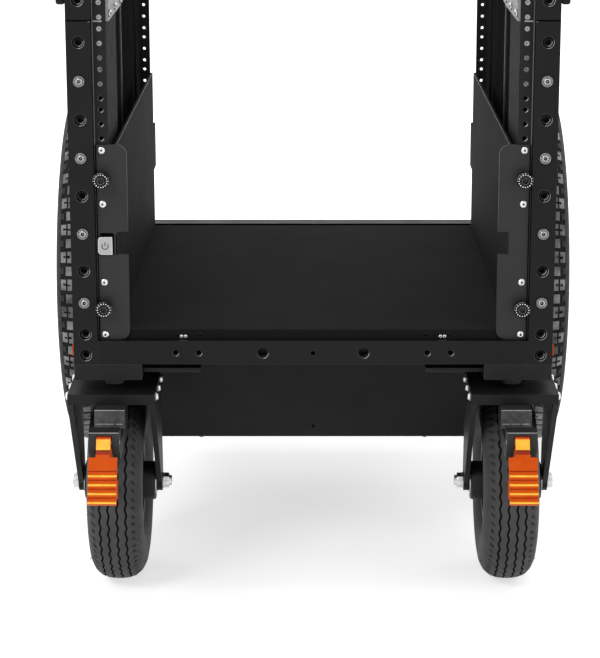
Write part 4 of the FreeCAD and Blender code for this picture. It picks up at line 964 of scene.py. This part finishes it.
def caster_fasteners(side):
    """The brake's pin and the stepped screws of the legs; the axle's piece has its nut."""
    node = f"{side}_caster_fasteners"
    middle_x = box_of(f"{side}_caster_axle")[2].x
    bm = bmesh.new()
    for low, high, middle, size in islands(node):
        radius = size.z / 2
        if size.z < 0.0085 and size.x > 0.03:
            turned(bm, (low.x, middle.y, middle.z), (1, 0, 0), (
                (0, 0), (radius * 0.85, 0), (radius, 0.0005), (radius, size.x - 0.0005),
                (radius * 0.85, size.x), (0, size.x)), 24)
        elif size.z < 0.0085:
            head = 0.0026
            face, way = (high.x - head, 1) if middle.x > middle_x else (low.x + head, -1)
            start = Vector((face, middle.y, middle.z))
            turned(bm, start, (way, 0, 0), scaled(
                (0, 0), (5.4, 0), (5.5, 0.3), (5.5, 0.8), (5, 1.1), (4.3, 1.1), (4.3, 2),
                (3.9, 2.9), (3.1, 3.4), (2.2, 3.6), (hexagon(0.0018), 3.5, 1),
                (hexagon(0.0017), 1.8, 1), (0, 1.6, 1)), 30)
            rod(bm, start, (-way, 0, 0), 0.0023, size.x - head, 16)
    settle(bm, node, ("chrome", "socket"))


def caster_wheel_details(side):
    """Hub sleeve, bright bearing washers, rim bolts and the valve of one caster."""
    node = f"{side}_caster_rim"
    low, high, centre, _ = box_of(node)
    half, circle, bolts = (high.x - low.x) / 2, 0.034, 6
    bm = bmesh.new()
    for way in (-1, 1):
        web = centre + Vector((0.005 * way, 0, 0))
        turned(bm, web, (way, 0, 0), (
            (0.0142, 0.0002), (0.0242, 0.0002), (0.0236, 0.0016), (0.0226, 0.0024),
            (0.0226, half - 0.0075), (0.0214, half - 0.0062), (0.0160, half - 0.0058, 1),
            (0.0158, half - 0.0052, 1), (0.0142, half - 0.0052), (0.0142, 0.0002)), 48)
        for step in range(bolts):
            angle = TURN * (step + 0.5) / bolts
            start = web + Vector((0, circle * sin(angle), circle * cos(angle)))
            if way > 0:
                nut(bm, start, (way, 0, 0), 0.0058, 0.0048, 0.0, 24)
            else:
                socket_head(bm, start, (way, 0, 0), 0.0052, 0.0036, 0.6, 0.4, 24)
    turned(bm, centre + Vector((0.007, 0, -0.0430)), (0.85, 0, 0.5), scaled(
        (0, 0), (3.4, 0), (3.2, 8), (2.2, 10), (2.2, 15, 1), (2.7, 15.5, 1), (2.7, 19, 1),
        (0, 19.5, 1)), 20)
    settle(bm, node, ("black_plastic", "chrome"), f"{side}_caster_wheel_details", 36)


def housing(side):
    """The brake's block with its scuffed face, and the two cheeks that hold the pedal.
    The tops in front of the block get painted shade, and the level edges round its face, on the
    cheeks' tops and along its foot a painted highlight.
    """
    node = f"{side}_brake_housing"
    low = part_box(node)[0]
    bm = copied(node)
    faces = [(face.normal.copy(), face.calc_center_median()) for face in bm.faces]
    points = [vertex.co.copy() for vertex in bm.verts]
    bm.free()
    behind = low.y + 0.03
    front = min(middle.y for normal, middle in faces if normal.y < -0.9 and middle.y > behind)
    cheek_top = max(point.z for point in points if point.y < low.y + NEAR)

    def paint(face):
        middle = face.calc_center_median()
        # Tops in front of the block: painted shade.
        if face.normal.z > 0.9 and middle.y < front:
            return 3
        return 2 if face.normal.y < -0.9 and middle.y > behind else 0

    def lit(edge):
        """The level edges round the block's face and on top of the cheeks, which get a painted
        highlight.
        """
        a, b = (vertex.co for vertex in edge.verts)
        if abs(a.z - b.z) > NEAR or abs(a.y - b.y) > NEAR:
            return False
        return abs(a.y - front) < NEAR or (a.y < low.y + NEAR and a.z > cheek_top - NEAR)

    dress(node, ("black_plastic", "plastic_edge", "scuffed_plastic", "inner_black"), 0.0005,
          paint, -1, lit=lit, lit_width=0.0009)
    spots = [point.x for point in points if abs(point.y - front) < NEAR and point.z > cheek_top]
    left, right = min(spots), max(spots)
    foot = min(middle.z for _, middle in faces if abs(middle.y - front) < NEAR)
    # Pale strips along the foot of the block's face: a painted highlight.
    bm = bmesh.new()
    for start, end in ((0.04, 0.30), (0.33, 0.64), (0.70, 0.92)):
        block(bm, (left + (right - left) * start, front - 0.00012, foot + 0.0007),
              (left + (right - left) * end, front + 0.0002, foot + 0.0023))
    settle(bm, node, ("plastic_edge",), f"{side}_housing_lit_line")


def pedal(side):
    """The orange pedal: painted highlights along its ribs and nose, and painted shade, deep red,
    in its grooves, on top of its nose and under it.
    """
    node = f"{side}_brake_pedal"
    bm = copied(node)
    out = max((face for face in bm.faces if face.normal.y < -0.5 and face.normal.z > 0.2),
              key=lambda face: face.calc_area()).normal.copy()
    up = out.cross(Vector((1, 0, 0)))
    if up.z < 0:
        up.negate()
    high = max(vertex.co.dot(up) for vertex in bm.verts)
    fore = max(vertex.co.dot(out) for vertex in bm.verts)
    bm.free()
    nose, ribs = 0.0176, 0.032
    plain, wear_and_glint, shade = 0, 1, 2

    def place(point):
        """How far a point lies below the pedal's top and behind its face."""
        return high - point.dot(up), fore - point.dot(out)

    # Faces by place and facing: painted highlights on the nose and rib tops, painted shade in the
    # grooves and under the nose.
    def paint(face):
        below, behind = place(face.calc_center_median())
        rise = face.normal.dot(up)
        if abs(face.normal.x) > 0.5:
            return plain
        if below < nose and behind < 0.0122:
            if below < 0.0042 or rise < -0.5:
                return shade
            return wear_and_glint if 0.0056 < below < 0.0138 else plain
        if below < ribs:
            return shade if below < 0.0225 and behind > 0.0015 else plain
        if behind < 0.0026:
            return wear_and_glint if rise > 0.5 else shade if rise < -0.5 else plain
        return plain

    def lit(edge):
        """The upper front edge of each rib, which gets a painted highlight."""
        below, behind = place((edge.verts[0].co + edge.verts[1].co) / 2)
        rises = sorted(face.normal.dot(up) for face in edge.link_faces)
        return below > ribs and behind < NEAR and abs(rises[0]) < 0.1 and rises[1] > 0.5

    dress(node, ("orange_cast", "orange_worn", "orange_deep"), 0.0003, paint, -1, sharp=25,
          lit=lit, lit_width=0.0017)


for side, sign in SIDES:
    caster_tyre(side)
    caster_axle(side, sign)
    caster_fasteners(side)
    caster_wheel_details(side)
    dress(f"{side}_fork_plate", STEEL)
    dress(f"{side}_fork_legs", STEEL)
    dress(f"{side}_swivel_bearing", ("stub_steel",))
    dress(f"{side}_caster_rim", PLASTIC, 0.0007)
    housing(side)
    pedal(side)
    dress(f"{side}_brake_lever", ("orange_cast",), 0.0008)


# ---------------- rear wheels


def rear_tyre(side):
    """A balloon tyre: flush tread blocks between sunken gaps, and ribbed shoulders.
    The blocks are paler than the rubber as a painted highlight, and the sunken floor and slots
    darker as painted shade.
    """
    node = f"{side}_rear_tyre"
    sunk, floor, periods = 1.1, 18.0, 43
    half = (3.5, 7, 11, 15, floor, 18.5, 20.4, 22.6, 25.2)
    tyre = Tyre(node, 250, ((0, 249.6), (6, 249.1), (12, 247.4), (17, 244.6), (21, 240.8),
                            (23.5, 236.8), (25.2, 231.0)),
                ((26.1, 225), (26.3, 220), (25.6, 215), (23.9, 211), (21.4, 208.6),
                 (18.4, 207.7), (14.2, 207.6), (14.0, 203.05)),
                [(x, -sunk if abs(x) <= floor else 0, 2 if -floor <= x < floor else 0)
                 for x in (*[-x for x in reversed(half)], 0, *half)])
    sunk *= MM

    def shape(angle, index):
        """Shallow notches across the shoulders."""
        x, wall, _ = tyre.tags[index]
        notched = not wall and 20 < abs(x) < 23
        phase = (angle * periods * 2 / TURN) % 1.0
        return 0.0, -1.3 * MM if notched and phase < 0.24 else 0.0

    bm = bmesh.new()
    tyre.carry_round(bm, periods * 12, shape)

    def surface(angle, x, lift):
        """A point above the tyre's curved skin."""
        lean = min(1.2, abs(x) * 38)
        reach = between(tyre.crown, abs(x)) + lift * max(0.35, cos(lean))
        return tyre.at(x + copysign(lift * sin(lean), x), reach, angle)

    def knob(angle, x0, x1, length, proud=0.0, look=1):
        """A tread block on the tyre's curved skin, smaller at its top."""
        half = length / 2 / tyre.rim
        steps = max(1, round((x1 - x0) / 0.0045))
        rows = []
        for height, inset in ((-sunk - 0.0002, 0.0), (proud - 0.0004, 0.00015),
                              (proud, 0.0004)):
            turn = inset / tyre.rim
            across = [x0 + inset + (x1 - x0 - 2 * inset) * i / steps for i in range(steps + 1)]
            row = [(x, -1) for x in across] + [(x, 1) for x in reversed(across)]
            rows.append([bm.verts.new(surface(angle + way * (half - turn), x, height))
                         for x, way in row])
        skin(bm, rows, lambda row: look)
        top = rows[-1]
        for index in range(steps):
            bm.faces.new((top[index], top[index + 1], top[-2 - index],
                          top[-1 - index])).material_index = look

    rng = random.Random(31 if side == "left" else 47)

    def slot(angle, middle, width, length):
        """A dark patch on the tread standing in for a cut, painted shade, a little uneven as wear
        leaves it.
        """
        angle += rng.uniform(-0.7, 0.7) * MM / tyre.rim
        middle += rng.uniform(-0.5, 0.5) * MM
        width *= rng.uniform(0.72, 1.06)
        length *= rng.uniform(0.66, 1.08)
        knob(angle, middle - width / 2, middle + width / 2, length, 0.00012,
             3 if rng.random() < 0.7 else 0)

    # Pale blocks and dark slots: painted highlight and painted shade.
    for angle in [TURN * step / periods for step in range(periods)]:
        halfway = angle + TURN / periods / 2
        knob(halfway, -10.8 * MM, 10.8 * MM, 12.2 * MM)
        knob(angle, -8.8 * MM, 8.8 * MM, 15.2 * MM)
        for way in (-1, 1):
            knob(halfway, *sorted((way * 13.8 * MM, way * 17.8 * MM)), 8.4 * MM, look=0)
            knob(angle, *sorted((way * 10.8 * MM, way * 17.4 * MM)), 14.4 * MM)
            slot(angle, way * 7.2 * MM, 4.2 * MM, 3.8 * MM)
            slot(angle, way * 12.8 * MM, 4.6 * MM, 3.8 * MM)
    settle(bm, node, ("rear_rubber", "knobs", "carcass", "tread_cut"), sharp=30)


def rear_metal():
    """Nuts and bolt heads of the rear axles."""
    bm = bmesh.new()
    shank = 0.008
    for low, high, middle, size in islands("rear_axle_fasteners"):
        sign = 1 if middle.x > 0 else -1
        if size.z > 0.02:
            way = sign if abs(middle.x) > 0.3 else -sign
            start = (low.x if way > 0 else high.x, middle.y, middle.z)
            nut(bm, start, (way, 0, 0), 0.016, size.x, 0.0101, 48)
        else:
            start = Vector((high.x if sign < 0 else low.x, middle.y, middle.z))
            rod(bm, start, (sign, 0, 0), 0.0039, shank + 0.0002)
            socket_head(bm, start + Vector((shank * sign, 0, 0)), (sign, 0, 0), 0.0065,
                        size.x - shank, 0.6, 0.42)
    settle(bm, "rear_axle_fasteners", ("chrome", "socket"), sharp=36)


for side, _ in SIDES:
    rear_tyre(side)
    dress(f"{side}_rear_rim", PLASTIC, 0.0008)
    dress(f"{side}_rear_hub", ("spoke_steel",), 0.0005)
rear_metal()
dress("rear_axles", ("bright_screws",))


# ---------------- stage, light and camera


def seen_mix(tree, unseen, seen, output):
    """Shows one shader to camera, glossy and transmission rays, the other to all the rest."""
    path = add_node(tree, "LightPath").outputs
    direct = path["Is Camera Ray"]
    for name in ("Is Glossy Ray", "Is Transmission Ray"):
        more = add_node(tree, "Math", direct, path[name])
        more.operation = "MAXIMUM"
        direct = more.outputs[0]
    mixed = add_node(tree, "MixShader", direct, unseen, seen)
    tree.links.new(mixed.outputs[0], tree.nodes[output].inputs["Surface"])


def placed(data, place):
    """An object of the scene, outside of the part."""
    thing = bpy.data.objects.new(data.name, data)
    thing.location = place
    bpy.context.scene.collection.objects.link(thing)
    return thing


def plain_floor():
    """A pale floor that reads as white where no shadow falls, and everywhere far away."""
    bm = bmesh.new()
    bmesh.ops.create_grid(bm, x_segments=8, y_segments=8, size=14)
    mesh = bpy.data.meshes.new("floor")
    bm.to_mesh(mesh)
    bm.free()
    material = bpy.data.materials.new("floor")
    material.use_nodes = True
    tree = material.node_tree
    tree.nodes.remove(tree.nodes["Principled BSDF"])
    matt = add_node(tree, "BsdfDiffuse", Color=(0.82, 0.82, 0.82, 1)).outputs[0]
    reach = add_node(tree, "VectorMath", add_node(tree, "TexCoord").outputs["Object"])
    reach.operation = "LENGTH"
    fade = add_node(tree, "MapRange", reach.outputs["Value"], From_Min=0.7, From_Max=2.2,
                    To_Min=0.6, To_Max=1.0)
    glow = add_node(tree, "Emission", Strength=fade.outputs["Result"]).outputs[0]
    both = add_node(tree, "AddShader", matt, glow)
    seen_mix(tree, matt, both.outputs[0], "Material Output")
    mesh.materials.append(material)
    placed(mesh, (0, 0, -0.0004))


def studio():
    """A white room: soft lamps from the front, above and behind."""
    world = bpy.data.worlds.new("studio")
    bpy.context.scene.world = world
    world.use_nodes = True
    tree = world.node_tree
    soft = tree.nodes["Background"]
    soft.inputs["Strength"].default_value = 0.5
    soft.inputs["Color"].default_value = (1, 1, 1, 1)
    white = add_node(tree, "Background", Strength=1.0, Color=(1, 1, 1, 1))
    seen_mix(tree, soft.outputs[0], white.outputs[0], "World Output")
    for name, place, aim, size, power in (
        ("key", (-2.2, -3.2, 3.0), (0, -0.2, 0.35), 1.4, 62),
        ("fill", (2.8, -2.8, 1.8), (0, -0.2, 0.35), 2.2, 28),
        ("top", (0.0, 0.2, 3.4), (0, 0, 0.3), 2.4, 40),
        ("back_left", (-2.6, 2.8, 2.2), (0, 0.2, 0.4), 1.6, 32),
        ("back_right", (2.6, 2.8, 2.2), (0, 0.2, 0.4), 1.6, 32),
    ):
        data = bpy.data.lights.new(name, "AREA")
        data.shape = "SQUARE"
        data.size = size
        data.energy = power
        lamp = placed(data, place)
        lamp.rotation_euler = (Vector(aim) - Vector(place)).to_track_quat("-Z", "Y").to_euler()


def camera():
    """A long lens in front of the part, pitched down."""
    pitch = 13.185
    data = bpy.data.cameras.new("camera")
    data.lens = 115.93
    data.sensor_width = 36
    data.shift_x = -0.0198
    data.shift_y = -0.12
    data.clip_end = 60
    eye = placed(data, (0, -2.6567, 0.9497))
    eye.rotation_euler = (radians(90 - pitch), 0, 0)
    bpy.context.scene.camera = eye


plain_floor()
studio()
camera()
bpy.context.scene.view_settings.view_transform = "Standard"
